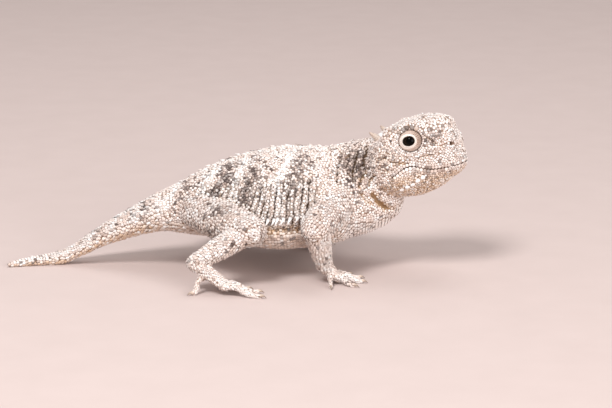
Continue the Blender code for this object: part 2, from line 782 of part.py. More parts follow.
def palm(digits, wrist, side, radius):
    """The palm or sole: a flattened form from the wrist to the middle of the knuckles."""
    knuckles = [wrist + mirrored(d.knuckle, side) for d in digits]
    reach = sum(knuckles[1:4], Vector()) / 3
    run = (reach - wrist).normalized()
    across = UP.cross(run).normalized()
    over = run.cross(across)
    length = (reach - wrist).length
    spread = (knuckles[3] - knuckles[0]).length / 2 + 0.5
    rings, count, around = [], 10, 14
    for i in range(count):
        share = i / (count - 1)
        distance = -radius + (length + radius + 1.6) * share
        t = min(max(distance / length, 0), 1)
        wide = radius + (spread - radius) * t**1.5
        high = radius + (0.9 - radius) * t**0.8
        round_off = math.sqrt(max(1 - max(-distance / radius, (distance - length) / 1.65, 0) ** 2, 0.03))
        rings.append([
            wrist + run * distance
            + across * wide * round_off * math.cos(2 * math.pi * k / around)
            + over * high * round_off * math.sin(2 * math.pi * k / around)
            for k in range(around)
        ])
    return skin_over(rings)


def digit_maker(digit, wrist, side):
    """A toe: arched from its knuckle to the floor, with its claw as a tapered tip."""
    knuckle, tip = wrist + mirrored(digit.knuckle, side), wrist + mirrored(digit.tip, side)
    floor = digit.thick * 0.8 - 0.12
    run = Vector((tip.x - knuckle.x, tip.y - knuckle.y, 0)).normalized()
    start = knuckle - run * 1.0
    path = [
        (start, digit.thick * 0.9),
        (knuckle, digit.thick),
        (knuckle.lerp(tip, 0.3) + UP * 0.75, digit.thick * 0.95),
        (Vector((*knuckle.lerp(tip, 0.62).xy, floor + 0.5)), digit.thick * 0.88),
        (Vector((*knuckle.lerp(tip, 0.85).xy, floor)), digit.thick * 0.8),
        (Vector((*tip.xy, floor)), digit.thick * 0.7),
        (Vector((*(tip + run * CLAW * 0.45).xy, floor + 0.12)), 0.36),
        (Vector((*(tip + run * CLAW).xy, 0.16)), 0.1),
    ]
    around = 6
    rings = []
    for i, (place, radius) in enumerate(path):
        forward = (path[min(i + 1, len(path) - 1)][0] - path[max(i - 1, 0)][0]).normalized()
        across = UP.cross(forward).normalized()
        over = forward.cross(across)
        rings.append([
            place
            + across * radius * math.cos(2 * math.pi * k / around)
            + over * radius * math.sin(2 * math.pi * k / around)
            for k in range(around)
        ])
    return skin_over(rings)


def stand_on_origin():
    """Parents the pieces to an empty, placed so that the footprint's middle is the origin."""
    bpy.context.view_layer.update()
    corners = [v.co for made in LIZARD.objects for v in made.data.vertices]
    middle = [(min(c[k] for c in corners) + max(c[k] for c in corners)) / 2 for k in range(2)]
    stand = bpy.data.objects.new("horned_lizard", None)
    pieces = list(LIZARD.objects)
    LIZARD.objects.link(stand)
    stand.location = (-middle[0], -middle[1], 0)
    for made in pieces:
        made.parent = stand


for old in list(bpy.data.objects):
    bpy.data.objects.remove(old)
LIZARD = bpy.data.collections.new("Horned lizard")
CUTTERS = bpy.data.collections.new("Cutters")
for group in (LIZARD, CUTTERS):
    bpy.context.scene.collection.children.link(group)
FINISH = {
    "skin": material("scaly_skin", SKIN, 0.8),
    "horn": material("horn", HORN, 0.55),
    "eye": material("eye", EYE, 0.1),
}

CHANCE = random.Random(SEED)
make_trunk(CHANCE)
make_neck(CHANCE)
make_head()
make_eyes()
make_horns()
for limb_side in (RIGHT, LEFT):
    for limb_kind in ("arm", "leg"):
        make_limb(limb_kind, limb_side, CHANCE)
stand_on_origin()
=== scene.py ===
import math
from collections import namedtuple

import bmesh
import bpy
import numpy as np
from mathutils import Matrix, Vector, noise
from mathutils.bvhtree import BVHTree
from mathutils.kdtree import KDTree


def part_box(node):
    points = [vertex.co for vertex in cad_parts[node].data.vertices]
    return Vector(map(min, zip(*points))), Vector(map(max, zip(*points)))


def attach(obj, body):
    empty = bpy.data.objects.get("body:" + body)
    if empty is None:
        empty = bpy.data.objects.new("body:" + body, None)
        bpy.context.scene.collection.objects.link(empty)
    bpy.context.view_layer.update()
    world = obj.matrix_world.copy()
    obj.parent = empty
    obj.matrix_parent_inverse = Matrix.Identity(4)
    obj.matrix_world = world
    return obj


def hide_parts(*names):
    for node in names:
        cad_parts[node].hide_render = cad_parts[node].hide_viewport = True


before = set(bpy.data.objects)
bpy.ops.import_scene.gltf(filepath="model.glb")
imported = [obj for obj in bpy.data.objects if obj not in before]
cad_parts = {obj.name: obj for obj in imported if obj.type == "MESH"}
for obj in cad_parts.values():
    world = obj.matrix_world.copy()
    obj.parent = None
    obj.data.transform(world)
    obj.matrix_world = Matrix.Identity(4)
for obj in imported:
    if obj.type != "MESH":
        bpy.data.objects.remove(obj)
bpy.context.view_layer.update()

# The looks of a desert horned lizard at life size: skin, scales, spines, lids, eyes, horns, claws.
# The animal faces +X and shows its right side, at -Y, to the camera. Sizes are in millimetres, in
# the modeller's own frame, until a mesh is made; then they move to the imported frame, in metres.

MM = 0.001
RIGHT, LEFT = -1, 1
WORD = {RIGHT: "right", LEFT: "left"}
UP = np.array((0.0, 0.0, 1.0))
CHANCE = np.random.default_rng(7)

# One cross-section of a lofted form: its centre, half-width, reach above and below the centre,
# and how square its upper and lower halves are (2 is an ellipse).
Station = namedtuple("Station", "x y z wide up down upper lower")

TRUNK = [
    Station(24.0, -0.6, 15.6, 1.0, 1.0, 1.0, 2.0, 2.0),
    Station(23.2, -0.6, 15.8, 4.2, 4.0, 3.0, 2.0, 2.0),
    Station(20.6, -0.5, 16.4, 8.2, 7.6, 6.0, 2.1, 2.1),
    Station(16.0, -0.2, 17.0, 11.2, 10.4, 8.4, 2.1, 2.2),
    Station(10.0, 0.0, 17.2, 13.6, 12.4, 9.7, 2.0, 2.3),
    Station(3.5, 0.0, 16.4, 17.0, 13.5, 10.2, 2.0, 2.4),
    Station(-4.0, 0.0, 15.7, 18.8, 14.1, 10.1, 2.0, 2.4),
    Station(-10.0, 0.0, 15.2, 18.0, 13.7, 9.6, 2.0, 2.4),
    Station(-16.0, 0.0, 14.8, 15.0, 12.7, 8.6, 2.0, 2.3),
    Station(-21.5, 0.0, 14.5, 11.4, 11.2, 7.2, 2.1, 2.2),
    Station(-26.5, 0.1, 14.2, 9.2, 9.2, 6.2, 2.1, 2.2),
    Station(-31.0, 0.2, 14.0, 8.0, 6.8, 5.5, 2.1, 2.2),
    Station(-35.0, 0.3, 13.5, 7.1, 5.1, 4.7, 2.1, 2.2),
    Station(-39.5, 0.6, 12.0, 6.0, 3.9, 3.8, 2.0, 2.1),
    Station(-46.0, 1.0, 9.2, 4.7, 3.0, 2.9, 2.0, 2.1),
    Station(-51.5, 1.2, 6.5, 3.6, 2.2, 2.2, 2.0, 2.0),
    Station(-57.0, 1.0, 3.4, 2.7, 1.7, 1.7, 2.0, 2.0),
    Station(-61.5, 0.5, 1.7, 2.1, 1.4, 1.82, 2.0, 2.0),
    Station(-67.5, -0.8, 1.1, 1.4, 1.1, 1.22, 2.0, 2.0),
    Station(-72.5, -2.4, 0.75, 0.8, 0.7, 0.85, 2.0, 2.0),
    Station(-74.0, -3.0, 0.65, 0.35, 0.3, 0.35, 2.0, 2.0),
]
NECK = [
    Station(6.0, 0.0, 21.6, 9.4, 8.0, 8.0, 2.0, 2.0),
    Station(12.5, -0.4, 23.6, 8.6, 7.8, 8.4, 2.0, 2.0),
    Station(18.5, -1.4, 26.0, 7.6, 6.9, 8.0, 2.0, 2.0),
    Station(24.5, -3.2, 28.0, 6.8, 6.2, 7.0, 2.0, 2.0),
]
# The head in its own frame: x runs from the nape to the snout, z is up from the mouth line.
HEAD = [
    Station(-3.4, 0.0, 1.0, 3.6, 3.0, 3.6, 2.0, 2.0),
    Station(-2.4, 0.0, 1.0, 6.6, 5.4, 6.2, 2.1, 2.1),
    Station(0.4, 0.0, 0.9, 9.1, 7.8, 8.0, 2.3, 2.2),
    Station(4.4, 0.0, 0.7, 9.8, 9.2, 8.8, 2.8, 2.3),
    Station(8.4, 0.0, 0.4, 9.3, 10.1, 8.9, 3.2, 2.3),
    Station(12.0, 0.0, 0.1, 8.1, 10.7, 8.1, 3.0, 2.3),
    Station(15.2, 0.0, -0.3, 6.8, 10.5, 6.7, 2.8, 2.2),
    Station(18.0, 0.0, -0.8, 5.3, 9.2, 4.6, 2.7, 2.1),
    Station(20.0, 0.0, -1.0, 3.9, 6.5, 3.2, 2.3, 2.0),
    Station(21.2, 0.0, -1.0, 2.3, 3.3, 1.9, 2.1, 2.0),
    Station(21.7, 0.0, -1.0, 0.7, 0.8, 0.6, 2.0, 2.0),
]
HEAD_PLACE = (19.6, -1.8, 25.6)
HEAD_TURN, HEAD_RAISE = 20.0, 14.0      # degrees: towards the viewer, and snout up

TAIL = -36.0                # x from which the tail has scales of its own
BELLY = 102.0               # degrees down from the middle of the back, where the belly begins

# A soft swelling or hollow: its middle, its reach along each axis, and the push at its middle.
Form = namedtuple("Form", "middle reach push")
HEAD_FORMS = [              # for the left side, mirrored to the right
    Form((9.6, 6.9, 10.0), (4.2, 1.5, 1.5), (0, 0.5, 1.0)),       # brow ridge
    Form((4.8, 6.6, 9.2), (1.6, 1.9, 1.6), (-0.4, 0.5, 1.2)),     # rear corner of the brow
    Form((1.4, 4.6, 8.2), (1.5, 3.4, 2.2), (0, 0, -1.1)),         # step down behind the crown
    Form((9.9, 8.6, 5.6), (3.2, 2.6, 2.6), (0, -1.5, 0)),         # orbit
    Form((2.6, 9.6, 3.0), (3.2, 2.4, 3.0), (0, 0.7, 0)),          # temple
    Form((4.0, 8.8, -3.4), (4.0, 2.4, 2.4), (0, 0.5, -0.3)),      # jaw muscle
    Form((15.6, 5.4, 5.0), (2.4, 1.8, 2.2), (0, -0.6, 0)),        # hollow before the eye
    Form((18.8, 3.2, 3.6), (1.6, 1.3, 1.3), (0.2, 0.3, 0.3)),     # nostril mound
    Form((21.6, 1.0, 1.0), (2.4, 6.0, 6.0), (-0.4, 0, 0)),        # front of the snout
]
EYE_PLACE = (10.0, 5.9, 5.8)
EYE_GAZE = (0.26, 0.95, 0.14)
EYE_RADIUS = 2.3
LID_RIM = (2.95, 2.72)      # half-length and half-height of the lids' outer crease
OPENING = (1.47, 1.25)      # half-length and half-height between the lids
OPENING_BACK = 0.34         # of the opening's middle, behind the middle of the lids
NOSTRIL = (19.0, 3.6, 3.2)
MOUTH_CENTRE_X = 9.0
MOUTH_CORNER = 122.0        # degrees round from the snout
HORN_ROOT, HORN_AIM = (1.9, 3.6, 7.0), (-0.78, 0.22, 0.58)
HORN_LENGTH, HORN_RADIUS = 2.0, 1.0

# Each limb's joints on the left side. The right side mirrors them, and the reach says how far
# each side's hand or foot is set ahead of that.
Limb = namedtuple("Limb", "root bend end thick")
LIMBS = {
    "arm": Limb((9.0, 8.5, 19.4), (2.4, 20.8, 14.4), (4.4, 17.6, 4.6), (4.4, 3.7, 3.3, 2.0)),
    "leg": Limb((-26.5, 5.5, 15.2), (-13.6, 21.4, 13.8), (-26.6, 25.6, 7.2), (5.0, 4.0, 3.2, 2.0)),
}
REACH = {("arm", RIGHT): 0.0, ("arm", LEFT): -7.5, ("leg", RIGHT): 0.0, ("leg", LEFT): 2.0}

# A digit: where it leaves the palm and where its tip rests, from the wrist or ankle, and its
# half-thickness at the knuckle.
Digit = namedtuple("Digit", "knuckle tip thick")
FINGERS = [
    Digit((2.2, -2.6, -3.1), (6.2, -6.4, -4.6), 0.72),
    Digit((3.0, -1.4, -3.0), (8.6, -3.2, -4.6), 0.78),
    Digit((3.2, 0.0, -3.0), (9.2, 0.6, -4.6), 0.80),
    Digit((2.6, 1.4, -3.0), (7.2, 4.2, -4.6), 0.78),
    Digit((1.4, 2.2, -3.0), (1.6, 5.6, -4.6), 0.72),
]
TOES = [
    Digit((6.6, 0.4, -4.9), (9.0, -3.6, -7.0), 0.74),
    Digit((7.4, 1.4, -5.0), (12.6, -1.0, -7.0), 0.80),
    Digit((7.6, 2.6, -5.0), (15.2, 2.0, -7.0), 0.84),
    Digit((7.0, 3.8, -5.0), (15.8, 6.2, -7.0), 0.84),
    Digit((1.6, 1.8, -3.6), (-0.6, 3.4, -7.0), 0.76),
]
CLAW = 1.5                  # length past the toe pad

SKIN_VOXEL = 0.44           # grain of the skin's mesh
SKIN_DEPTH = 0.12           # of the skin under the solids' surface
FLOOR_GAP, SKIN_GAP = 0.02, 0.03        # of the lowest scale and of the skin, above the floor
SCALE_SIDES = 8
NEIGHBOURS = 13             # that a scale's outline takes into account, itself among them
PATCH = 0.003               # of a scale's place on the colour map
UV_PER_MM = 0.0046          # of the colour map for a millimetre of skin
UV_GAP = 0.012              # between two parts of the skin on the colour map


def unit(vectors):
    vectors = np.asarray(vectors, float)
    return vectors / np.maximum(np.linalg.norm(vectors, axis=-1, keepdims=True), 1e-12)


def dot(a, b):
    return (a * b).sum(-1)


def smooth(values, low, high):
    """0 up to low, 1 from high, and a soft step between; low may be above high."""
    share = np.clip((np.asarray(values, float) - low) / (high - low), 0, 1)
    return share * share * (3 - 2 * share)


def turns(count):
    """Angles in equal steps, once round."""
    return 2 * math.pi * np.arange(count) / count


def bump(values, centre, width):
    return np.exp(-(((values - centre) / width) ** 2))


def near(places, middle, reach):
    """1 at the middle, falling softly to 0 past the reach along each axis."""
    return np.exp(-(((places - np.array(middle)) / np.array(reach)) ** 2).sum(-1))


def mirrored(vector, side):
    return np.array((vector[0], vector[1] * side, vector[2]), float)


def cloudy(points, size, seed=0.0):
    """Soft noise from about -1 to 1 at each point, its lumps about size across."""
    return np.array([noise.fractal(Vector(p) / size + Vector((seed, 0, 0)), 0.6, 2.1, 3) for p in points])


def along(values, t):
    """The smooth curve through values, at each t counted in values."""
    values, t = np.asarray(values, float), np.asarray(t, float)
    padded = np.concatenate([2 * values[:1] - values[1:2], values, 2 * values[-1:] - values[-2:-1]])
    i = np.clip(t.astype(int), 0, len(values) - 2)
    f = (t - i).reshape(t.shape + (1,) * (values.ndim - 1))
    before, a, b, after = padded[i], padded[i + 1], padded[i + 2], padded[i + 3]
    tangent_a, tangent_b = (b - before) / 2, (after - a) / 2
    return (
        (2 * f**3 - 3 * f**2 + 1) * a
        + (f**3 - 2 * f**2 + f) * tangent_a
        + (3 * f**2 - 2 * f**3) * b
        + (f**3 - f**2) * tangent_b
    )


def loft(stations, t, around):
    """Rings of points through the stations, one ring for each t; the first point is at the side."""
    table = np.array(stations, float)
    last = len(table) - 1
    middle, step = table[:, :3], 0.02
    run = unit(along(middle, np.minimum(t + step, last)) - along(middle, np.maximum(t - step, 0)))
    side = unit(np.array((0, 1, 0)) - run * run[:, 1:2])
    up = np.cross(run, side)
    up *= np.where(up[:, 2:] >= -0.05, 1, -1)
    wide, above, below, upper, lower = along(table[:, 3:], t).T[:, :, None]
    cos, sin = np.cos(turns(around))[None], np.sin(turns(around))[None]
    power = 2 / np.where(sin > 0, upper, lower)
    across = np.sign(cos) * wide * np.abs(cos) ** power
    over = np.sign(sin) * np.where(sin > 0, above, below) * np.abs(sin) ** power
    centre = along(middle, t)
    return centre[:, None] + side[:, None] * across[..., None] + up[:, None] * over[..., None]


def round_rings(centres, radii, around, across, over):
    """Rings of points round the centres, in the plane of across and over."""
    angle = turns(around)
    across, over = (np.broadcast_to(v, centres.shape)[:, None] for v in (across, over))
    spread = across * np.cos(angle)[None, :, None] + over * np.sin(angle)[None, :, None]
    return centres[:, None] + spread * radii[:, None, None]


def grid_quads(count, around, ring=False):
    """The faces between rows of points, each row a loop; in a ring, the last row meets the first."""
    i, k = np.meshgrid(np.arange(count if ring else count - 1), np.arange(around), indexing="ij")
    j, n = (i + 1) % count, (k + 1) % around
    corners = [i * around + k, i * around + n, j * around + n, j * around + k]
    return np.stack(corners, -1).reshape(-1, 4)


def grid_faces(count, around, ring=False):
    """The faces of a closed mesh from rows of points: a ring, or with a cap at both ends."""
    faces = list(grid_quads(count, around, ring))
    if not ring:
        k = np.arange(around)
        faces += [k[::-1], k + (count - 1) * around]
    return faces


class Tube:
    """A form of the body as rings of points from root to tip."""

    def __init__(self, name, rings):
        self.name, self.rings = name, rings
        self.count, self.around = rings.shape[:2]
        self.centres = rings.mean(1)
        steps = np.linalg.norm(np.diff(self.centres, axis=0), axis=1)
        self.reach = np.concatenate([[0], np.cumsum(steps)])
        self.girth = np.linalg.norm(rings - np.roll(rings, 1, axis=1), axis=2).sum(1)

    def quads(self):
        return grid_quads(self.count, self.around)

    def point(self, u, v):
        """The surface at u rings from the root and v points round."""
        u = np.clip(u, 0, self.count - 1.001)
        i, f = u.astype(int), (u % 1)[:, None]
        v = np.asarray(v, float) % self.around
        k, g = v.astype(int), (v % 1)[:, None]
        n = (k + 1) % self.around
        near = self.rings[i, k] * (1 - g) + self.rings[i, n] * g
        far = self.rings[i + 1, k] * (1 - g) + self.rings[i + 1, n] * g
        return near * (1 - f) + far * f

    def lattice(self, row_step, side_step, turn=0.5):
        """Sites in rows round the form, each row turned by a share of a step from the one before."""
        found = []
        for row, distance in enumerate(np.arange(row_step / 2, self.reach[-1], row_step)):
            u = np.interp(distance, self.reach, np.arange(self.count))
            count = max(5, int(round(np.interp(u, np.arange(self.count), self.girth) / side_step)))
            v = (np.arange(count) + turn * (row % 2)) * self.around / count
            found.append(self.point(np.full(count, u), v))
        return np.concatenate(found)


def head_matrix():
    turn = Matrix.Rotation(math.radians(-HEAD_TURN), 4, "Z")
    raised = Matrix.Rotation(math.radians(-HEAD_RAISE), 4, "Y")
    return np.array(Matrix.Translation(HEAD_PLACE) @ turn @ raised)


HEAD_TO_BODY = head_matrix()
BODY_TO_HEAD = np.linalg.inv(HEAD_TO_BODY)


def from_head(points):
    return np.asarray(points, float) @ HEAD_TO_BODY[:3, :3].T + HEAD_TO_BODY[:3, 3]


def to_head(points):
    return np.asarray(points, float) @ BODY_TO_HEAD[:3, :3].T + BODY_TO_HEAD[:3, 3]


def head_rings():
    rings = loft(HEAD, np.linspace(0, len(HEAD) - 1, 90), 96)
    pushed = rings.copy()
    for form in HEAD_FORMS:
        for side in (RIGHT, LEFT):
            share = near(rings, mirrored(form.middle, side), form.reach)
            pushed += mirrored(form.push, side) * share[..., None]
    return from_head(pushed)


def limb_joints(kind, side):
    """Where a limb leaves the trunk, its elbow or knee, and its wrist or ankle."""
    limb, reach = LIMBS[kind], np.array((REACH[kind, side], 0, 0))
    root, bend, end = (mirrored(place, side) for place in limb[:3])
    return root, bend + reach * 0.5, end + reach


def limb_rings(start, end, sizes, swell, side_hint):
    """A limb's segment, rounded at both ends."""
    run = end - start
    length = np.linalg.norm(run)
    run = run / length
    side = unit(np.cross(side_hint, run))
    over = np.cross(run, side)
    share = 0.5 - 0.5 * np.cos(math.pi * np.linspace(0, 1, 36))
    distance = -sizes[0] + (length + sizes[0] + sizes[1]) * share
    t = np.clip(distance / length, 0, 1)
    radius = along(sizes, t) + swell * np.sin(math.pi * t) ** 2
    beyond = np.maximum(np.maximum(-distance / sizes[0], (distance - length) / sizes[1]), 0)
    radius *= np.sqrt(np.maximum(1 - beyond**2, 0.02))
    return round_rings(start + run * distance[:, None], radius, 40, side * 1.06, over * 0.94)


def palm_rings(digits, wrist, side, radius):
    """The palm or sole: a flattened form from the wrist to the middle of the knuckles."""
    knuckles = np.array([wrist + mirrored(d.knuckle, side) for d in digits])
    reach = knuckles[1:4].mean(0)
    length = np.linalg.norm(reach - wrist)
    run = (reach - wrist) / length
    across = unit(np.cross(UP, run))
    over = np.cross(run, across)
    spread = np.linalg.norm(knuckles[3] - knuckles[0]) / 2 + 0.5
    distance = -radius + (length + radius + 1.6) * np.linspace(0, 1, 18)
    t = np.clip(distance / length, 0, 1)
    wide, high = radius + (spread - radius) * t**1.5, radius + (0.9 - radius) * t**0.8
    beyond = np.maximum(np.maximum(-distance / radius, (distance - length) / 1.65), 0)
    rounded = np.sqrt(np.maximum(1 - beyond**2, 0.03))
    centres = wrist + run * distance[:, None]
    return round_rings(centres, rounded, 28, across * wide[:, None], over * high[:, None])


def digit_path(digit, wrist, side):
    """The middle line of a digit, arched from its knuckle to the floor, and its half-thickness."""
    knuckle, tip = wrist + mirrored(digit.knuckle, side), wrist + mirrored(digit.tip, side)
    floor = digit.thick * 0.8 - 0.12
    run = unit((tip - knuckle) * (1, 1, 0))

    def resting(share, lift):
        return np.array((*(knuckle + (tip - knuckle) * share)[:2], floor + lift))

    places = [
        knuckle - run, knuckle, knuckle + (tip - knuckle) * 0.3 + UP * 0.75,
        resting(0.62, 0.5), resting(0.85, 0.0), resting(1.0, 0.0), resting(1.0, 0.0) + run * 0.35,
    ]
    sizes = digit.thick * np.array((0.9, 1.0, 0.95, 0.88, 0.82, 0.72, 0.3))
    return np.array(places), sizes, run


def digit_rings(digit, wrist, side):
    places, sizes, _ = digit_path(digit, wrist, side)
    t = np.linspace(0, len(places) - 1, 40)
    centres = along(places, t)
    forward = unit(np.gradient(centres, axis=0))
    across = unit(np.cross(UP, forward))
    radii = along(sizes, t) * (1 + 0.05 * np.cos(2 * math.pi * t * 1.5))
    return round_rings(centres, radii, 20, across, np.cross(forward, across))


def body_tubes():
    tubes = [
        Tube("trunk", loft(TRUNK, np.linspace(0, len(TRUNK) - 1, 220), 96)),
        Tube("neck", loft(NECK, np.linspace(0, len(NECK) - 1, 30), 60)),
        Tube("head", head_rings()[::-1]),
    ]
    for side in (RIGHT, LEFT):
        for kind, names, digits, hint in (
            ("arm", ("upper_arm", "forearm", "hand", "finger"), FINGERS, (1, 0, 0.2)),
            ("leg", ("thigh", "shin", "foot", "toe"), TOES, (0, 0, 1)),
        ):
            root, bend, end = limb_joints(kind, side)
            thick = LIMBS[kind].thick
            tubes.append(Tube(names[0], limb_rings(root, bend, thick[:2], 0.5, hint)))
            tubes.append(Tube(names[1], limb_rings(bend, end, thick[2:], 0.25, (1, 0, 0.1))))
            tubes.append(Tube(names[2], palm_rings(digits, end, side, thick[3])))
            tubes += [Tube(names[3], digit_rings(d, end, side)) for d in digits]
    return tubes


TUBES = body_tubes()
PARTS = ["trunk", "neck", "head", "upper_arm", "forearm", "hand", "finger", "thigh", "shin", "foot", "toe"]
ARM, LEG = PARTS[3:7], PARTS[7:]
LONG_BONES = ("upper_arm", "forearm", "thigh", "shin")
PAWS = ("hand", "foot")
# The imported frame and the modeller's own both know where the tail ends.
TAIL_END = loft(TRUNK, np.array([len(TRUNK) - 1.0]), 12)[0][:, 0].min()
FRAME_SHIFT = np.array((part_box("tail_tip")[0].x / MM - TAIL_END, 0, 0))


def mesh_object(name, points, faces):
    """A new object with these points, in millimetres of the modeller's frame."""
    mesh = bpy.data.meshes.new(name)
    points = (np.asarray(points) + FRAME_SHIFT) * MM
    mesh.vertices.add(len(points))
    mesh.vertices.foreach_set("co", points.astype(np.float32).ravel())
    sizes = np.array([len(f) for f in faces], np.int32)
    mesh.loops.add(int(sizes.sum()))
    corners = np.concatenate([np.asarray(f).ravel() for f in faces])
    mesh.loops.foreach_set("vertex_index", corners.astype(np.int32))
    mesh.polygons.add(len(sizes))
    starts = np.concatenate([[0], np.cumsum(sizes)[:-1]]).astype(np.int32)
    mesh.polygons.foreach_set("loop_start", starts)
    mesh.update(calc_edges=True)
    made = bpy.data.objects.new(name, mesh)
    bpy.context.scene.collection.objects.link(made)
    return made


def floats(mesh, name, values):
    """Stores a number for each point of the mesh, for its material to read."""
    made = mesh.attributes.new(name, "FLOAT", "POINT")
    made.data.foreach_set("value", np.asarray(values, np.float32))


def colours(mesh, name, values):
    made = mesh.attributes.new(name, "FLOAT_COLOR", "POINT")
    values = np.concatenate([values, np.ones((len(values), 1))], axis=1)
    made.data.foreach_set("color", values.astype(np.float32).ravel())


def shape_of(mesh):
    """A mesh's points and triangles as arrays."""
    mesh.calc_loop_triangles()
    points = np.empty(len(mesh.vertices) * 3, np.float32)
    mesh.vertices.foreach_get("co", points)
    faces = np.empty(len(mesh.loop_triangles) * 3, np.int32)
    mesh.loop_triangles.foreach_get("vertices", faces)
    return points.reshape(-1, 3).astype(float), faces.reshape(-1, 3)


def blended_skin(tubes):
    """Points in millimetres and triangles of one closed skin round all the tubes."""
    shape = bmesh.new()
    for tube in tubes:
        verts = [shape.verts.new(p) for p in tube.rings.reshape(-1, 3)]
        for quad in tube.quads():
            shape.faces.new([verts[i] for i in quad])
        for row in (verts[: tube.around], verts[-tube.around:]):
            middle = shape.verts.new(sum((v.co for v in row), Vector()) / len(row))
            for k in range(tube.around):
                shape.faces.new((row[k - 1], row[k], middle))
    bmesh.ops.recalc_face_normals(shape, faces=shape.faces)
    mesh = bpy.data.meshes.new("blend")
    shape.to_mesh(mesh)
    shape.free()
    helper = bpy.data.objects.new("blend", mesh)
    bpy.context.scene.collection.objects.link(helper)
    remesh = helper.modifiers.new("one_skin", "REMESH")
    remesh.mode = "VOXEL"
    remesh.voxel_size = SKIN_VOXEL
    bpy.context.view_layer.update()
    whole = bpy.data.meshes.new_from_object(helper.evaluated_get(bpy.context.evaluated_depsgraph_get()))
    bpy.data.objects.remove(helper)
    return refined(whole)


def refined(mesh):
    """The same skin with the head's faces cut in four."""
    shape = bmesh.new()
    shape.from_mesh(mesh)
    centres = to_head(np.array([f.calc_center_median() for f in shape.faces]))
    inner = np.nonzero(centres[:, 0] > 0.5)[0]
    shape.faces.ensure_lookup_table()
    edges = {e for i in inner for e in shape.faces[i].edges}
    bmesh.ops.subdivide_edges(shape, edges=list(edges), cuts=1, use_grid_fill=True)
    bmesh.ops.triangulate(shape, faces=shape.faces)
    shape.to_mesh(mesh)
    shape.free()
    return shape_of(mesh)


class Skin:
    """The skin's mesh, with what is known at each of its points."""

    def __init__(self, points, triangles):
        self.points, self.triangles = points, triangles
        ends = np.concatenate([triangles[:, [0, 1]], triangles[:, [1, 2]], triangles[:, [2, 0]]])
        self.edges = np.unique(np.sort(ends, axis=1), axis=0)
        both = np.concatenate([self.edges, self.edges[:, ::-1]])
        self.from_, self.to = both[:, 0], both[:, 1]
        self.links = np.bincount(self.from_, minlength=len(points))[:, None]
        self.settle()

    def spread(self, values):
        """The average over each point's neighbours."""
        flat = values.reshape(len(self.points), -1)
        total = [np.bincount(self.from_, column[self.to], len(self.points)) for column in flat.T]
        return (np.stack(total, 1) / self.links).reshape(values.shape)

    def evened(self, values, rounds):
        for _ in range(rounds):
            values = 0.5 * values + 0.5 * self.spread(values)
        return values

    def relax(self, rounds):
        """Smooths the mesh, and swells it back as much as the smoothing shrank it."""
        for _ in range(rounds):
            for share in (0.5, -0.52):
                self.points = self.points + share * (self.spread(self.points) - self.points)
        self.settle()

    def settle(self):
        """Works the normals out again."""
        corners = self.points[self.triangles]
        face = np.cross(corners[:, 1] - corners[:, 0], corners[:, 2] - corners[:, 0])
        total = np.zeros_like(self.points)
        for k in range(3):
            for axis in range(3):
                total[:, axis] += np.bincount(self.triangles[:, k], face[:, axis], len(self.points))
        self.normals = unit(total)
        self.areas = np.linalg.norm(face, axis=1) / 2

    def push(self, amounts):
        self.points = self.points + self.normals * amounts[:, None]
        self.settle()

    def grow_tree(self):
        self.tree = BVHTree.FromPolygons(self.points.tolist(), self.triangles.tolist())

    def under(self, places):
        """For each place, the nearest of the skin: (place, its triangle, corner weights, distance)."""
        hits = [self.tree.find_nearest(p) for p in places.tolist()]
        found, index, far = (np.array([h[k] for h in hits]) for k in (0, 2, 3))
        return found, index, corner_weights(found, self.points[self.triangles[index]]), far

    def read(self, values, index, weights):
        """A quantity known at the points, at places in triangles."""
        weights = weights.reshape(weights.shape + (1,) * (values.ndim - 1))
        return (values[self.triangles[index]] * weights).sum(1)

    def flow(self, index, weights):
        """The normals and the lie towards the tail, at places in triangles."""
        normals = unit(self.read(self.normals, index, weights))
        lie = self.read(self.lie, index, weights)
        return normals, unit(lie - normals * dot(lie, normals)[:, None])

    def map_place(self, index, weights):
        """Where places in triangles lie on the colour map."""
        return (self.uv_corners[index] * weights[..., None]).sum(1)

    def at_random(self, share, count):
        """Places chosen at random, by the share of each triangle, with triangles and corner weights."""
        index = CHANCE.choice(len(share), count, p=share / share.sum())
        weights = CHANCE.dirichlet((1, 1, 1), count)
        return self.read(self.points, index, weights), index, weights


def corner_weights(places, corners):
    a, b, c = corners[:, 0], corners[:, 1], corners[:, 2]
    whole = np.cross(b - a, c - a)
    size = np.maximum(dot(whole, whole), 1e-18)
    wb = dot(np.cross(places - a, c - a), whole) / size
    wc = dot(np.cross(b - a, places - a), whole) / size
    weights = np.clip(np.stack([1 - wb - wc, wb, wc], 1), 0, 1)
    return weights / weights.sum(1, keepdims=True)


def locate(skin, tubes):
    """Says for each point of the skin which tube it is on, how far along and round, and the lie."""
    points, faces, owner, first = [], [], [], 0
    for number, tube in enumerate(tubes):
        points.append(tube.rings.reshape(-1, 3))
        faces.append(tube.quads() + first)
        owner.append(np.full(len(faces[-1]), number))
        first += len(points[-1])
    faces, owner = np.concatenate(faces), np.concatenate(owner)
    starts = np.concatenate([[0], np.cumsum([len(t.quads()) for t in tubes])])
    tree = BVHTree.FromPolygons(np.concatenate(points).tolist(), faces.tolist())
    hit = np.array([tree.find_nearest(p)[2] for p in skin.points.tolist()])
    skin.tube = owner[hit]
    local = hit - starts[skin.tube]
    skin.ring, skin.turn = np.zeros(len(hit)), np.zeros(len(hit))
    skin.lie = np.zeros((len(hit), 3))
    for number, tube in enumerate(tubes):
        mine = skin.tube == number
        ring, spot = np.divmod(local[mine], tube.around)
        skin.ring[mine] = tube.reach[ring]
        skin.turn[mine] = spot / tube.around
        skin.lie[mine] = tube.rings[ring + 1, spot] - tube.rings[ring, spot]
    skin.part = np.array([PARTS.index(t.name) for t in tubes])[skin.tube]
    skin.lie = unit(skin.evened(unit(skin.lie), 12))
    local = to_head(skin.points)
    skin.side_local = local * (1, 0, 1) + np.abs(local) * (0, 1, 0)


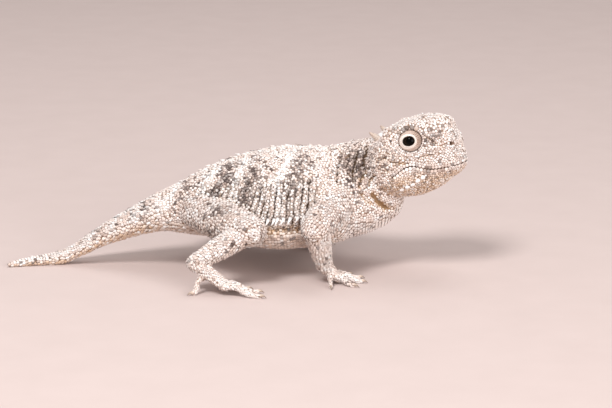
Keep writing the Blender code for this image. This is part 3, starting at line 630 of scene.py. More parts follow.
def in_part(skin, *names):
    return np.isin(skin.part, [PARTS.index(n) for n in names])


def trunk_angle(skin):
    """Degrees down from the middle of the back, 90 at the widest line, for points of the trunk."""
    return np.abs((skin.turn * 360 - 90 + 180) % 360 - 180)


def mouth_height(degrees):
    """Height of the mouth line, by degrees round from the snout."""
    around = np.abs(degrees)
    hump, droop = 1.6 * bump(around, 88, 22), -1.0 * bump(around, 118, 14)
    return -2.3 + hump + droop + 1.2 * np.maximum(0.0, (around - 30) / 92)


def mouth_line(tree):
    """Points along the mouth on the head's surface."""
    found = []
    for degrees in np.linspace(-MOUTH_CORNER, MOUTH_CORNER, 160):
        angle, height = math.radians(degrees), mouth_height(degrees)
        start = from_head((MOUTH_CENTRE_X, 0, height))
        aim = from_head((MOUTH_CENTRE_X + math.cos(angle), math.sin(angle), height)) - start
        found.append(tree.ray_cast(Vector(start + aim * 2), Vector(aim))[0])
    return np.array(found)


def point_tree(points):
    tree = KDTree(len(points))
    for i, place in enumerate(points):
        tree.insert(place, i)
    tree.balance()
    return tree


def distance_to(points, line):
    """How far each point is from the nearest point of a line, and which one that is."""
    tree = point_tree(line)
    found = [tree.find(p) for p in points.tolist()]
    return np.array([f[2] for f in found]), np.array([f[1] for f in found])


def eye_frame(side):
    """The matrix from an eye's own frame, x forward, y up and z outward, to the body's."""
    gaze = unit(mirrored(EYE_GAZE, side))
    forward = unit(np.array((1, 0, 0)) - gaze * gaze[0])
    upward = np.cross(gaze, forward) * -side
    made = np.eye(4)
    made[:3, :3] = np.stack([forward, upward, gaze], 1)
    made[:3, 3] = mirrored(EYE_PLACE, side)
    return HEAD_TO_BODY @ made


def moved(points, matrix):
    return np.asarray(points) @ matrix[:3, :3].T + matrix[:3, 3]


def in_eye(points, side):
    """Points in an eye's own frame, and their distance from its axis, 1 at the lids' outer crease."""
    local = moved(points, np.linalg.inv(eye_frame(side)))
    return local, np.hypot(local[:, 0] / LID_RIM[0], local[:, 1] / LID_RIM[1])


def shape_orbits(skin):
    """Sinks the skin round each eye, so that eye and lids stand in an orbit."""
    for side in (RIGHT, LEFT):
        local, out = in_eye(skin.points, side)
        beside = (out < 1.6) & (local[:, 2] > -1.5)
        bowl = 0.5 + 3.0 * smooth(out, 0.98, 1.42) + 0.7 * smooth(out, 0.97, 1.04)
        ceiling = np.where(out < 1.0, 0.2, bowl)
        drop = np.where(beside, np.minimum(local[:, 2], ceiling) - local[:, 2], 0.0)
        skin.points = skin.points + eye_frame(side)[:3, 2] * drop[:, None]
    skin.settle()


def fold_phase(skin):
    """The standing folds of the flanks, counted in folds along the body."""
    angle = trunk_angle(skin)
    lean = 0.03 + 0.1 * smooth(skin.points[:, 0], -6, -20)
    return (skin.points[:, 0] + lean * (angle - 85) + 0.4 * cloudy(skin.points * (1, 1, 0.3), 3.0)) / 1.6


# A deep fold beside the neck, seen from the side: where it starts and ends, in x and z, its depth
# and half-width, and how far the painted shade inside it is ochre-brown instead of black.
NeckFold = namedtuple("NeckFold", "start end depth width ochre")
NECK_FOLDS = [
    NeckFold((14.6, 32.0), (13.8, 25.6), 1.6, 0.58, 0.0),
    NeckFold((12.2, 31.0), (11.5, 22.8), 1.5, 0.52, 0.0),
    NeckFold((10.4, 30.6), (10.2, 24.5), 0.9, 0.34, 0.0),
    NeckFold((8.6, 30.4), (7.4, 22.4), 1.1, 0.38, 0.1),
    NeckFold((15.4, 21.4), (21.2, 15.0), 1.7, 0.95, 1.0),
    NeckFold((14.6, 26.2), (12.6, 21.6), 0.9, 0.50, 0.8),
    NeckFold((12.4, 21.4), (16.6, 17.6), 0.5, 0.36, 0.9),
    NeckFold((16.6, 25.6), (15.2, 22.0), 0.9, 0.40, 0.7),
]


def wrinkle(skin):
    """Pushes the folds of the skin in, and notes in skin.crease how deep each point lies."""
    skin.crease = np.zeros(len(skin.points))
    trunk, angle = in_part(skin, "trunk"), trunk_angle(skin)
    x = skin.points[:, 0]
    flank = trunk * smooth(angle, 36, 56) * smooth(angle, 100, 91) * smooth(x, 5, 1) * smooth(x, -31, -27)
    phase = fold_phase(skin)
    away = np.abs(phase - np.round(phase))
    strong = 0.95 + 0.45 * cloudy(np.stack([np.round(phase) * 9.0, angle / 40, x * 0], 1), 1.0)
    valley = flank * bump(away, 0, 0.17) * np.clip(strong, 0.2, 1.15)
    depth = valley * 1.35 - flank * 0.22 * bump(away, 0.5, 0.3)
    # A groove under the belly's fringe; mark() paints it ochre-brown and dark as shade.
    skin.recess = trunk * bump(angle, 98.5, 5.5) * smooth(x, 7, 4) * smooth(x, -28, -24)
    depth = np.maximum(depth, skin.recess * 1.2)
    skin.crease = np.maximum(skin.crease, valley)
    # The crests between the flank folds; mark() paints them whiter as highlight.
    skin.ridge = flank * bump(away, 0.5, 0.3)
    torso = in_part(skin, "trunk", "neck") | (in_part(skin, "head") & (skin.side_local[:, 0] < 0))
    skin.grow_tree()
    skin.fold = np.zeros(len(skin.points))
    for fold in NECK_FOLDS:
        for side in (RIGHT, LEFT):
            seen = np.linspace(fold.start, fold.end, 30)
            seen[:, 0] += 0.22 * np.sin(np.linspace(0, 8, 30))
            inward = Vector((0, -side, 0))
            hits = [skin.tree.ray_cast(Vector((x, 40 * side, z)), inward)[0] for x, z in seen]
            far, where = distance_to(skin.points, np.array([h for h in hits if h is not None]))
            ends = smooth(where, 0, 5) * smooth(where, 29, 24)
            hollow = torso * bump(far, 0, fold.width) * ends
            depth = np.maximum(depth, hollow * fold.depth)
            # What is painted as shade in the fold: black by its depth in skin.crease, ochre-brown by its
            # ochre share in skin.fold.
            skin.crease = np.maximum(skin.crease, hollow * (1 - 0.5 * fold.ochre))
            skin.fold = np.maximum(skin.fold, hollow * fold.ochre)
    skin.push(-depth)
    skin.push(0.1 * cloudy(skin.points, 2.6))


# Fine creases on the side of the head, by x and z in its own frame: below the eye, from the brow
# to the nostril, behind the mouth and at the temple.
HEAD_CREASES = [
    ((4.4, 2.3), (7.0, 1.5), (9.6, 0.8)), ((13.4, 7.2), (15.2, 5.4), (16.8, 3.6)),
    ((2.0, 0.6), (3.6, 0.0), (5.4, 0.0)), ((1.6, 3.6), (3.2, 3.2), (4.8, 3.6)),
    ((11.4, 1.6), (13.6, 1.9), (15.6, 1.5)),
]


def part_lips(skin):
    """The groove of the mouth, the creases of the cheek and the nostrils."""
    head = in_part(skin, "head") & (skin.side_local[:, 0] > 0.5)
    rows = np.nonzero(head)[0]
    skin.grow_tree()
    skin.mouth_line = mouth_line(skin.tree)
    far, where = distance_to(skin.points[rows], skin.mouth_line)
    end = np.minimum(where, len(skin.mouth_line) - 1 - where)
    groove = bump(far, 0, 0.23) * smooth(end, 0, 6)
    skin.mouth = np.zeros(len(skin.points))
    skin.mouth[rows] = groove
    local = skin.side_local[rows]
    cheek = np.zeros(len(rows))
    for line in HEAD_CREASES:
        corners = np.array([(x, 0, z) for x, z in line])
        far, where = distance_to(local * (1, 0, 1), along(corners, np.linspace(0, len(line) - 1, 60)))
        end = np.minimum(where, 59 - where)
        cheek = np.maximum(cheek, bump(far, 0, 0.28) * (local[:, 1] > 3.4) * smooth(end, -2, 8))
    skin.nostril = np.zeros(len(skin.points))
    away = np.linalg.norm(local - NOSTRIL, axis=1)
    out = np.linalg.norm(local - local[np.argmin(away)], axis=1)
    skin.nostril[rows] = bump(out, 0, 0.52)
    depth = np.zeros(len(skin.points))
    depth[rows] = 0.5 * groove + 0.5 * cheek + 0.9 * bump(out, 0, 0.48) - 0.3 * bump(out, 0.9, 0.25)
    # The cheek's creases join skin.crease, which is painted as shade.
    skin.crease[rows] = np.maximum(skin.crease[rows], 0.62 * cheek)
    skin.push(-depth)


# A dark bar across the back: where its middle meets the top of the back, its half-width, how far
# down it starts and ends in degrees from the top, and how dark it is.
Bar = namedtuple("Bar", "x half top low strength")
BARS = [
    Bar(-2.4, 2.7, 7, 96, 0.9), Bar(-13.6, 2.5, 7, 98, 1.0), Bar(-20.6, 3.1, 8, 96, 1.7),
    Bar(-30.2, 2.9, 4, 78, 0.9), Bar(-40.2, 1.5, 0, 84, 0.75), Bar(-46.2, 1.3, 0, 84, 0.7),
    Bar(-52.0, 1.2, 0, 84, 0.7), Bar(-57.4, 1.1, 0, 84, 0.6), Bar(-62.6, 1.0, 0, 84, 0.5),
    Bar(-67.2, 0.9, 0, 84, 0.45),
]
# A dark or brown spot on any part: its middle on the right side, its reach, and how dark it is.
Spot = namedtuple("Spot", "middle reach strength")
SPOTS = [
    Spot((11.8, -9.5, 28.0), (3.1, 5.5, 5.6), 1.9),      # side of the neck
    Spot((-21.0, -17.5, 18.0), (2.6, 3.0, 1.8), 0.7),    # thigh
    Spot((-18.5, -24.5, 12.0), (1.6, 2.5, 1.6), 0.55),   # shin
    Spot((-14.5, -24.5, 11.0), (1.2, 2.5, 1.3), 0.45),   # knee
    Spot((4.6, -20.5, 17.5), (1.5, 2.5, 1.5), 0.4),      # elbow
]


def mark(skin):
    """The markings at each point: dark, ochre and white, the pale belly, and painted shade and highlight on
    the folds.
    """
    rough, fine = cloudy(skin.points, 4.0, 3.0), cloudy(skin.points, 1.5, 9.0)
    x, angle, trunk = skin.points[:, 0], trunk_angle(skin), in_part(skin, "trunk")
    dark, white = np.zeros(len(x)), np.zeros(len(x))
    for bar in BARS:
        middle = bar.x + 0.5 * bar.half * np.sin(angle / 14) + 1.5 * rough - 0.012 * (angle - 45)
        across = (x - middle) / (bar.half * (0.55 + 0.5 * bump(angle, 38, 24)) * (1 + 0.5 * rough))
        reach = smooth(angle, bar.top - 4, bar.top + 5) * smooth(angle, bar.low + 12, bar.low - 22)
        body = np.where(across < 0, np.exp(-((across / 0.95) ** 4)), np.exp(-np.abs(across / 1.0) ** 2.2))
        dark = np.maximum(dark, trunk * bar.strength * reach * body * np.clip(0.62 + 1.1 * fine, 0.0, 1.0))
        white = np.maximum(white, trunk * reach * bump(across, -1.5, 0.42) * min(1, bar.strength + 0.3))
    for spot in SPOTS:
        for side in (1, -1):
            body = near(skin.points, np.array(spot.middle) * (1, side, 1), spot.reach)
            dark = np.maximum(dark, spot.strength * body * np.clip(0.8 + 0.9 * fine, 0.1, 1.3))
    head, neck, local = in_part(skin, "head"), in_part(skin, "neck"), skin.side_local
    before_eye = near(local, (15.2, 6.6, 5.6), (1.9, 2.4, 1.3))
    dark = np.maximum(dark, head * before_eye * np.clip(0.75 + 1.2 * fine, 0, 1) * 0.75)
    crumbs = np.clip(fine - 0.4, 0, 1) * 1.6
    dark = np.maximum(dark, 0.55 * crumbs * (trunk | in_part(skin, *LONG_BONES)))
    # Painted shade: the creases of the flanks and neck are darkened.
    dark = np.maximum(dark, 0.95 * smooth(skin.crease, 0.3, 0.8) * (trunk | neck) * (angle < 93))
    temple = head * near(local, (3.4, 9.4, 2.6), (3.6, 4.0, 2.6))
    # Painted shade: the head's creases are darkened and turned ochre.
    cheek = head * smooth(skin.crease, 0.2, 0.7)
    corner = head * near(local, (5.4, 8.6, -2.8), (3.4, 4.0, 1.1))
    speckled = head * near(local, (12.0, 7.6, -2.4), (4.2, 4.0, 1.5))
    dark = np.maximum(dark, np.maximum(0.3 * temple, np.maximum(0.6 * cheek, 0.3 * speckled)))
    # Painted shade for the scales that sit in the deep creases of the trunk and neck.
    skin.black = smooth(skin.crease, 0.4, 0.8) * (trunk | neck)
    # Painted highlight: the crests between the flank folds are whiter.
    white = np.maximum(white, 0.65 * skin.ridge)
    throat = head * smooth(local[:, 2], -2.6, -4.2)
    below = trunk * smooth(angle, 97, 106) * smooth(x, 12, 4)
    inner = np.clip(-skin.normals[:, 2], 0, 1) * in_part(skin, *LONG_BONES, *PAWS)
    # Ochre as painted shade too: in the head's creases, and in all creases on the next line.
    ochre = 0.8 * throat + 0.4 * below + 0.3 * inner + 0.4 * temple + 0.8 * cheek
    ochre += 0.6 * corner + 0.35 * speckled + 0.75 * skin.crease * (trunk | neck | head)
    # Painted shade: the ochre insides of the neck folds and the groove under the belly's fringe turn
    # ochre-brown, the groove dark as well.
    ochre += 1.2 * smooth(np.maximum(skin.fold, skin.recess), 0.15, 0.6)
    dark = np.maximum(dark, 0.38 * skin.recess)
    ochre += 0.35 * trunk * smooth(angle, 55, 80) * smooth(angle, 104, 92) * np.clip(rough, 0, 1)
    ochre += 0.5 * trunk * (x < TAIL) * smooth(angle, 60, 110)
    skin.marks = np.clip(np.stack([dark * (1 - 0.9 * below), ochre, white], 1), 0, 1)


def atlas(tubes):
    """Where each tube's own unwrap, its length by its girth, lies on the colour map."""
    start, spots = 0.01, {}
    x, y, row = start, start, 0.0
    for i in sorted(range(len(tubes)), key=lambda i: -tubes[i].girth.max()):
        wide, high = tubes[i].reach[-1] * UV_PER_MM + UV_GAP, tubes[i].girth.max() * UV_PER_MM
        if x + wide > 1 - start / 2:
            x, y, row = start, y + row, 0.0
        spots[i] = (x, y, high)
        x, row = x + wide, max(row, high + UV_GAP)
    return np.array([spots[i] for i in range(len(tubes))])


def unwrap(skin, tubes):
    """The skin's place on the colour map at each corner of its triangles."""
    spots = atlas(tubes)
    owner, first = skin.tube[skin.triangles[:, 0]], skin.triangles[:, :1]
    girth = np.array([t.girth.max() for t in tubes])[owner]
    step = skin.points[skin.triangles] - skin.points[first]
    across = np.cross(skin.normals[first], skin.lie[first])
    ring, turn = skin.ring[skin.triangles], skin.turn[skin.triangles]
    turn = turn - np.round(turn - turn[:, :1])
    # A corner on the next tube, or beyond a rounded end, is placed by its distance from the first.
    astray = (skin.tube[skin.triangles] != owner[:, None]) | (np.abs(turn - turn[:, :1]) > 0.15)
    ring = np.where(astray, ring[:, :1] + dot(step, skin.lie[first]), ring)
    turn = np.where(astray, turn[:, :1] + dot(step, across) / girth[:, None], turn)
    u = spots[owner, 0][:, None] + np.maximum(ring, 0) * UV_PER_MM
    v = spots[owner, 1][:, None] + np.clip(turn, 0, 1) * spots[owner, 2][:, None]
    skin.uv_corners = np.stack([u, v], -1)


class Crowd:
    """Places already taken by scales, in boxes, so that the next ones keep clear of them."""

    def __init__(self, size=1.2):
        self.size, self.boxes = size, {}

    def clear(self, place, room, factor):
        cx, cy, cz = (int(math.floor(c / self.size)) for c in place)
        for i in (cx - 1, cx, cx + 1):
            for j in (cy - 1, cy, cy + 1):
                for k in (cz - 1, cz, cz + 1):
                    for (x, y, z, r) in self.boxes.get((i, j, k), ()):
                        limit = (r + room) * factor
                        if (x - place[0]) ** 2 + (y - place[1]) ** 2 + (z - place[2]) ** 2 < limit * limit:
                            return False
        return True

    def take(self, place, room):
        key = tuple(int(math.floor(c / self.size)) for c in place)
        self.boxes.setdefault(key, []).append((*place, room))

    def settle(self, places, rooms, factor):
        """Takes each place in turn if it is clear, and says which were."""
        kept = []
        for place, room in zip(places.tolist(), rooms.tolist()):
            ok = self.clear(place, room, factor)
            kept.append(ok)
            if ok:
                self.take(place, room)
        return np.array(kept, bool)


# What a scale of each kind is like: the share of its cell that it fills, heights of its shoulder,
# its top and its point as shares of its half-width, how far the point leans to the tail, how wide
# its top is, how far its rear edge reaches over the next scale, how much that edge is lifted, and
# how its top narrows to a keel.
Kind = namedtuple("Kind", "edge shoulder top point lean crown reach lift keel")
KINDS = [
    Kind(0.91, 0.24, 0.50, 0.66, 0.25, 0.46, 0.12, 0.05, 0.0),     # granule
    Kind(0.93, 0.20, 0.34, 0.42, 0.05, 0.58, 0.00, 0.00, 0.0),     # head plate
    Kind(0.92, 0.08, 0.46, 1.05, 1.25, 0.62, 0.60, 0.65, 0.8),     # keeled
    Kind(0.92, 0.10, 0.32, 0.50, 0.85, 0.60, 0.45, 0.35, 0.5),     # flat
    Kind(0.91, 0.24, 0.48, 0.60, 0.15, 0.48, 0.05, 0.00, 0.0),     # bead
]
GRANULE, PLATE, KEELED, FLAT, BEAD = range(5)


ROOMS = {                   # half the distance between scales, on each part
    "head": 0.25, "neck": 0.28, "upper_arm": 0.42, "forearm": 0.38, "hand": 0.32, "finger": 0.27,
    "thigh": 0.42, "shin": 0.38, "foot": 0.32, "toe": 0.27,
}


def scale_rooms(skin):
    """Half the distance between scales, at each point of the skin."""
    room = np.full(len(skin.points), 0.30)
    for name, size in ROOMS.items():
        room[in_part(skin, name)] = size
    for kind in LIMBS:
        for side in (RIGHT, LEFT):
            bent = bump(np.linalg.norm(skin.points - limb_joints(kind, side)[1], axis=1), 3.6, 1.8)
            room = np.where(in_part(skin, *LONG_BONES), room - 0.10 * bent, room)
    x, angle, trunk = skin.points[:, 0], trunk_angle(skin), in_part(skin, "trunk")
    for where, size in (
        (in_part(skin, "head") & (skin.side_local[:, 2] > 6.5), 0.30),
        (trunk & (angle > 60) & (angle < 100), 0.27), (trunk & (x < TAIL), 0.38),
        (trunk & (x < -55), 0.28), (trunk & (angle > BELLY), 0.38),
    ):
        room = np.where(where, size, room)
    return skin.evened(room, 4)


def scale_kinds(skin):
    kind = np.full(len(skin.points), GRANULE)
    angle, head, trunk = trunk_angle(skin), in_part(skin, "head"), in_part(skin, "trunk")
    height = skin.side_local[:, 2]
    for where, word in (
        (in_part(skin, *LONG_BONES, *PAWS), KEELED), (in_part(skin, "finger", "toe"), FLAT),
        (head & (height > 5.5), PLATE), (head & (height < -2.5), BEAD),
        (trunk & (skin.points[:, 0] < TAIL), KEELED), (trunk & (angle > BELLY), FLAT),
    ):
        kind[where] = word
    return kind


class Scales:
    """All the scales' roots, gathered set by set in order of importance."""

    def __init__(self, skin):
        skin.bare = bare_places(skin)
        self.skin, self.crowd, self.sets = skin, Crowd(), []
        self.rooms, self.kinds = scale_rooms(skin), scale_kinds(skin)

    def keep(self, spots, factor, ok, room=None, kind=None, group="small"):
        """Takes each spot in turn, where the skin isn't bare and there is room."""
        skin, (places, index, weights) = self.skin, spots
        own = skin.read(self.rooms, index, weights) if room is None else np.full(len(places), room)
        kinds = self.kinds[skin.triangles[index, 0]] if kind is None else np.full(len(places), kind)
        ok = ok & (skin.read(skin.bare, index, weights) <= 0.5)
        kept = np.zeros(len(places), bool)
        kept[ok] = self.crowd.settle(places[ok], own[ok], factor)
        columns = (places, index, weights, own, kinds, np.full(len(places), group))
        self.sets.append([column[kept] for column in columns])

    def add(self, places, factor, room=None, kind=None, reach=0.9, group="small"):
        """Sets scales at the skin nearest to the places."""
        *spots, far = self.skin.under(places)
        self.keep(spots, factor, far < reach, room, kind, group)

    def scatter(self, count, factor):
        """Tries scales at random over the whole skin, to fill what is left."""
        share = self.skin.areas / self.rooms[self.skin.triangles[:, 0]] ** 2
        self.keep(self.skin.at_random(share, count), factor, np.ones(count, bool))

    def gather(self):
        skin = self.skin
        columns = [np.concatenate(c) for c in zip(*self.sets)]
        self.places, index, weights, self.own, self.kind, self.group = columns
        self.normals, self.lie = skin.flow(index, weights)
        self.marks = skin.read(skin.marks, index, weights)
        self.black = skin.read(skin.black, index, weights)
        self.uv = skin.map_place(index, weights)
        self.part = skin.part[skin.triangles[index, 0]]
        self.cells()

    def cells(self):
        """How far each scale reaches in each direction before it meets its neighbours."""
        tree = point_tree(self.places)
        found = [tree.find_n(p, NEIGHBOURS)[1:] for p in self.places.tolist()]
        close = np.array([[f[1] for f in row] for row in found])
        away = self.places[close] - self.places[:, None]
        facing = (self.normals[close] * self.normals[:, None]).sum(-1) > 0.15
        side = np.cross(self.normals, self.lie)
        angle = turns(SCALE_SIDES)[None, :, None]
        self.rays = self.lie[:, None] * np.cos(angle) + side[:, None] * np.sin(angle)
        share = self.own[:, None] / (self.own[:, None] + self.own[close])
        ahead = np.einsum("nkc,njc->nkj", self.rays, away)
        border = (share * (away**2).sum(-1))[:, None] / np.maximum(ahead, 1e-6)
        limit = np.where((ahead > 1e-6) & facing[:, None], border, np.inf)
        self.radii = np.minimum(limit.min(-1), 1.45 * self.own[:, None])


def row_between(line, step):
    """Places a step apart along a line of points."""
    reach = np.concatenate([[0], np.cumsum(np.linalg.norm(np.diff(line, axis=0), axis=1))])
    at = np.arange(step / 2, reach[-1], step)
    return np.stack([np.interp(at, reach, line[:, k]) for k in range(3)], 1)


def bare_places(skin):
    """1 where no scale grows: in the mouth, the nostrils, the deepest folds and under the lids."""
    bare = np.maximum(smooth(skin.mouth, 0.2, 0.5), smooth(skin.nostril, 0.1, 0.3))
    bare = np.maximum(bare, np.maximum(skin.crease, skin.fold) > 0.56)
    for side in (RIGHT, LEFT):
        local, out = in_eye(skin.points, side)
        bare = np.maximum(bare, (out < 1.02) & (local[:, 2] > -1.5))
    return bare.astype(float)


# Scales tried at random, after the rows: how many, and the share of their room that they need.
SCATTER = ((80000, 1.0), (110000, 0.86))
# Rows of scales along the mouth: height over the mouth line, step and room.
LIP_ROWS = ((0.52, 0.8, 0.33), (-0.55, 0.9, 0.37), (1.12, 0.66, 0.28), (-1.2, 0.74, 0.30))
# Rows round each eye: distance from the lids, first and last degree, step, room and what they are.
ORBIT_ROWS = (
    (0.55, 45, 150, 1.15, 0.44, "brow"), (0.3, 0, 360, 0.5, 0.24, "small"),
    (0.8, 0, 360, 0.56, 0.27, "small"),
)


def grow_scales(skin, scales):
    """Every scale but the spines, from the lips and chin to the last granule."""
    line = skin.mouth_line[6:-6]
    for height, step, room in LIP_ROWS:
        scales.add(row_between(line, step) + HEAD_TO_BODY[:3, 2] * height, 0.8, room, PLATE, 1.6, "lip")
    for side in (RIGHT, LEFT):
        chin = from_head([(x, side * 7.2, -4.8 + 0.26 * (x - 5.4)) for x in np.linspace(5.0, 15.5, 60)])
        scales.add(row_between(chin, 1.5), 0.8, 0.52, FLAT, 3.5, "chin")
        for out, start, stop, step, room, word in ORBIT_ROWS:
            angle = np.radians(np.linspace(start, stop, 90))
            wide, high = np.array(LID_RIM) + out
            ring = np.stack([wide * np.cos(angle), high * np.sin(angle), np.full(90, 1.6)], 1)
            row = row_between(moved(ring, eye_frame(side)), step)
            scales.add(row, 0.85, room, GRANULE, 1.6, word)
    trunk = TUBES[0].lattice(0.74, 0.78)
    belly_and_tail = (angle_of(trunk) > BELLY) | (trunk[:, 0] < -33)
    scales.add(trunk[belly_and_tail], 0.86)
    for tube in TUBES:
        if tube.name in ARM + LEG:
            room = ROOMS[tube.name]
            scales.add(tube.lattice(room * 1.7, room * 2.2), 0.84)
    for count, factor in SCATTER:
        scales.scatter(count, factor)


def angle_of(places):
    """Degrees down from the middle of the back for places on the trunk."""
    table = np.array(TRUNK)
    order = np.argsort(table[:, 0])
    middle = np.interp(places[:, 0], table[order, 0], table[order, 2])
    centre = np.interp(places[:, 0], table[order, 0], table[order, 1])
    return np.degrees(np.abs(np.arctan2(np.abs(places[:, 1] - centre), places[:, 2] - middle)))


def scale_mesh(name, scales, chosen, finish):
    """One piece of the coat: the chosen scales as closed low mounds over the skin."""
    places, normals, lie = scales.places[chosen], scales.normals[chosen], scales.lie[chosen]
    radii, rays, own = scales.radii[chosen], scales.rays[chosen], scales.own[chosen]
    lift = own * scales.lift[chosen]
    edge, shoulder, top, point, lean, crown, reach, raised, keel = np.array(KINDS)[scales.kind[chosen]].T
    angle = turns(SCALE_SIDES)
    rear = np.maximum(np.cos(angle), 0) ** 2

    def ring(share, height, forward, rear_share, narrow=0.0):
        far = radii * share[:, None] * (1 + rear_share[:, None] * rear) * (1 - narrow * np.abs(np.sin(angle)))
        high = height[:, None] + (raised * rear_share / np.maximum(reach, 0.01) * lift)[:, None] * rear
        centre = places + lie * (own * forward)[:, None]
        return centre[:, None] + rays * far[..., None] + normals[:, None] * high[..., None]

    one = np.ones(len(places))
    tip = places + normals * (point * lift)[:, None] + lie * (own * lean)[:, None]
    points = np.concatenate([
        ring(one * 0.97, -0.16 * one, 0 * one, 0 * one),
        ring(edge, shoulder * lift, 0 * one, reach),
        ring(crown, top * lift, lean * 0.2, 0.9 * reach, keel[:, None]),
        tip[:, None],
    ], axis=1)
    sides, each = SCALE_SIDES, 3 * SCALE_SIDES + 1
    k = np.arange(sides)
    cap = np.stack([k + 2 * sides, (k + 1) % sides + 2 * sides, np.full(sides, 3 * sides)], 1)
    flat = np.stack([np.cos(angle), np.sin(angle)], 1) * PATCH / 2
    patch = np.concatenate([flat, flat * 0.8, flat * 0.4, np.zeros((1, 2))])
    shape = [grid_quads(3, sides), cap, k[::-1][None]]
    made = repeated_mesh(name, points, shape, scales.uv[chosen], patch)
    colours(made.data, "markings", np.repeat(scales.marks[chosen], each, axis=0))
    floats(made.data, "shade", np.repeat(scales.shade[chosen], each))
    # Painted shade: the material darkens each scale by its rise, so its foot, and on laid scales the foot
    # under the rear edge, is painted dark brown as shade.
    laid = (reach > 0.3)[:, None]
    foot, rim = np.where(laid, 0.5 * (1 - rear), 0.0), np.where(laid, 0.6 - 0.3 * rear, 0.45)
    rise = np.concatenate([foot, rim, np.full((len(places), sides), 0.85), np.ones((len(places), 1))], axis=1)
    floats(made.data, "rise", rise.ravel())
    fleck = np.concatenate([np.zeros(2 * sides), np.full(sides, 0.45), [1.0]])
    floats(made.data, "fleck", (scales.fleck[chosen][:, None] * fleck).ravel())
    finished(made, finish)


def repeated_mesh(name, points, shape, uv, patch):
    """One mesh of many scales or spines, all with the faces of one shape, and its colour map."""
    points[..., 2] = np.maximum(points[..., 2], FLOOR_GAP)
    first = np.arange(len(points))[:, None, None] * points.shape[1]
    faces = [f for kind in shape for f in (kind[None] + first).reshape(-1, kind.shape[1])]
    made = mesh_object(name, points.reshape(-1, 3), faces)
    corner = np.empty(len(made.data.loops), np.int32)
    made.data.loops.foreach_get("vertex_index", corner)
    lay_map(made.data, (uv[:, None] + patch).reshape(-1, 2)[corner])
    return made


def lay_map(mesh, corners):
    """The colour map's places, one for each corner of the faces."""
    made = mesh.uv_layers.new(name="OFBake")
    made.data.foreach_set("uv", corners.astype(np.float32).ravel())


def finished(made, finish):
    made.data.materials.append(finish)
    made.data.shade_smooth()
    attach(made, "root")


# How often a scale of each part has a brown tip, and how often it is dark, in the order of PARTS.
TIPPED = np.array([0.09, 0.14, 0.26, 0.34, 0.4, 0.1, 0.05, 0.3, 0.34, 0.1, 0.05])
SPECKLED = np.array([0.05, 0.10, 0.13, 0.04, 0.04, 0.02, 0.01, 0.04, 0.04, 0.02, 0.01])


def colour_scales(scales):
    """Each scale's own shade, its dark fleck if it has one, and how high it stands."""
    count = len(scales.places)
    scales.shade = np.clip(CHANCE.normal(0.5, 0.21, count), 0, 1)
    scales.fleck = (CHANCE.random(count) < TIPPED[scales.part]) * CHANCE.uniform(0.4, 1.0, count)
    scales.lift = CHANCE.uniform(0.8, 1.3, count)
    dark = scales.marks[:, 0].copy()
    hit = CHANCE.random(count) < 0.66 * dark + 0.26 * smooth(dark, 0.75, 1)
    scales.marks[:, 0] = hit * CHANCE.uniform(0.35, 1.0, count)
    scales.shade = np.clip(scales.shade - 0.35 * dark, 0, 1)
    # Painted shade: scales in the deep creases of the trunk and neck are darkened.
    scales.marks[:, 0] = np.maximum(scales.marks[:, 0], scales.black)
    odds = SPECKLED[scales.part] * (1 + np.clip(cloudy(scales.places, 1.8, 5.0), -0.6, 0.6))
    speck = (CHANCE.random(count) < odds) * CHANCE.uniform(0.2, 0.75, count)
    scales.marks[:, 0] = np.maximum(scales.marks[:, 0], speck)
    brow = scales.group == "brow"
    scales.marks[brow, 0], scales.marks[brow, 1] = CHANCE.uniform(0.1, 0.9, brow.sum()), 0.6
    shields = scales.group == "chin"
    scales.marks[shields] = (0, 0, 1)
    scales.shade[shields], scales.fleck[shields] = 0.9, 0


def coat_pieces(scales, finish):
    """The scales in pieces by the part of the body that they are on."""
    part = np.array(PARTS)[scales.part]
    angle, height = angle_of(scales.places), to_head(scales.places)[:, 2]
    x, y = scales.places[:, 0], scales.places[:, 1]
    label = np.full(len(part), "scales_of_back_rear", dtype=object)
    trunk = part == "trunk"
    label[trunk & (x > -8)] = "scales_of_back_front"
    label[trunk & (angle > 62) & (y < 0)] = "scales_of_flank_right"
    label[trunk & (angle > 62) & (y >= 0)] = "scales_of_flank_left"
    label[trunk & (angle > 100)] = "scales_of_belly"
    label[trunk & (x < -33)] = "scales_of_tail"
    label[part == "neck"] = "scales_of_neck"
    label[(part == "head") & (height > -1)] = "scales_of_head"
    label[(part == "head") & (height <= -1)] = "scales_of_throat"
    for side, word in WORD.items():
        mine = y * side > 0
        label[np.isin(part, ARM) & mine] = f"scales_of_arm_{word}"
        label[np.isin(part, LEG) & mine] = f"scales_of_leg_{word}"
    for name in sorted(set(label)):
        scale_mesh(name, scales, np.nonzero(label == name)[0], finish)


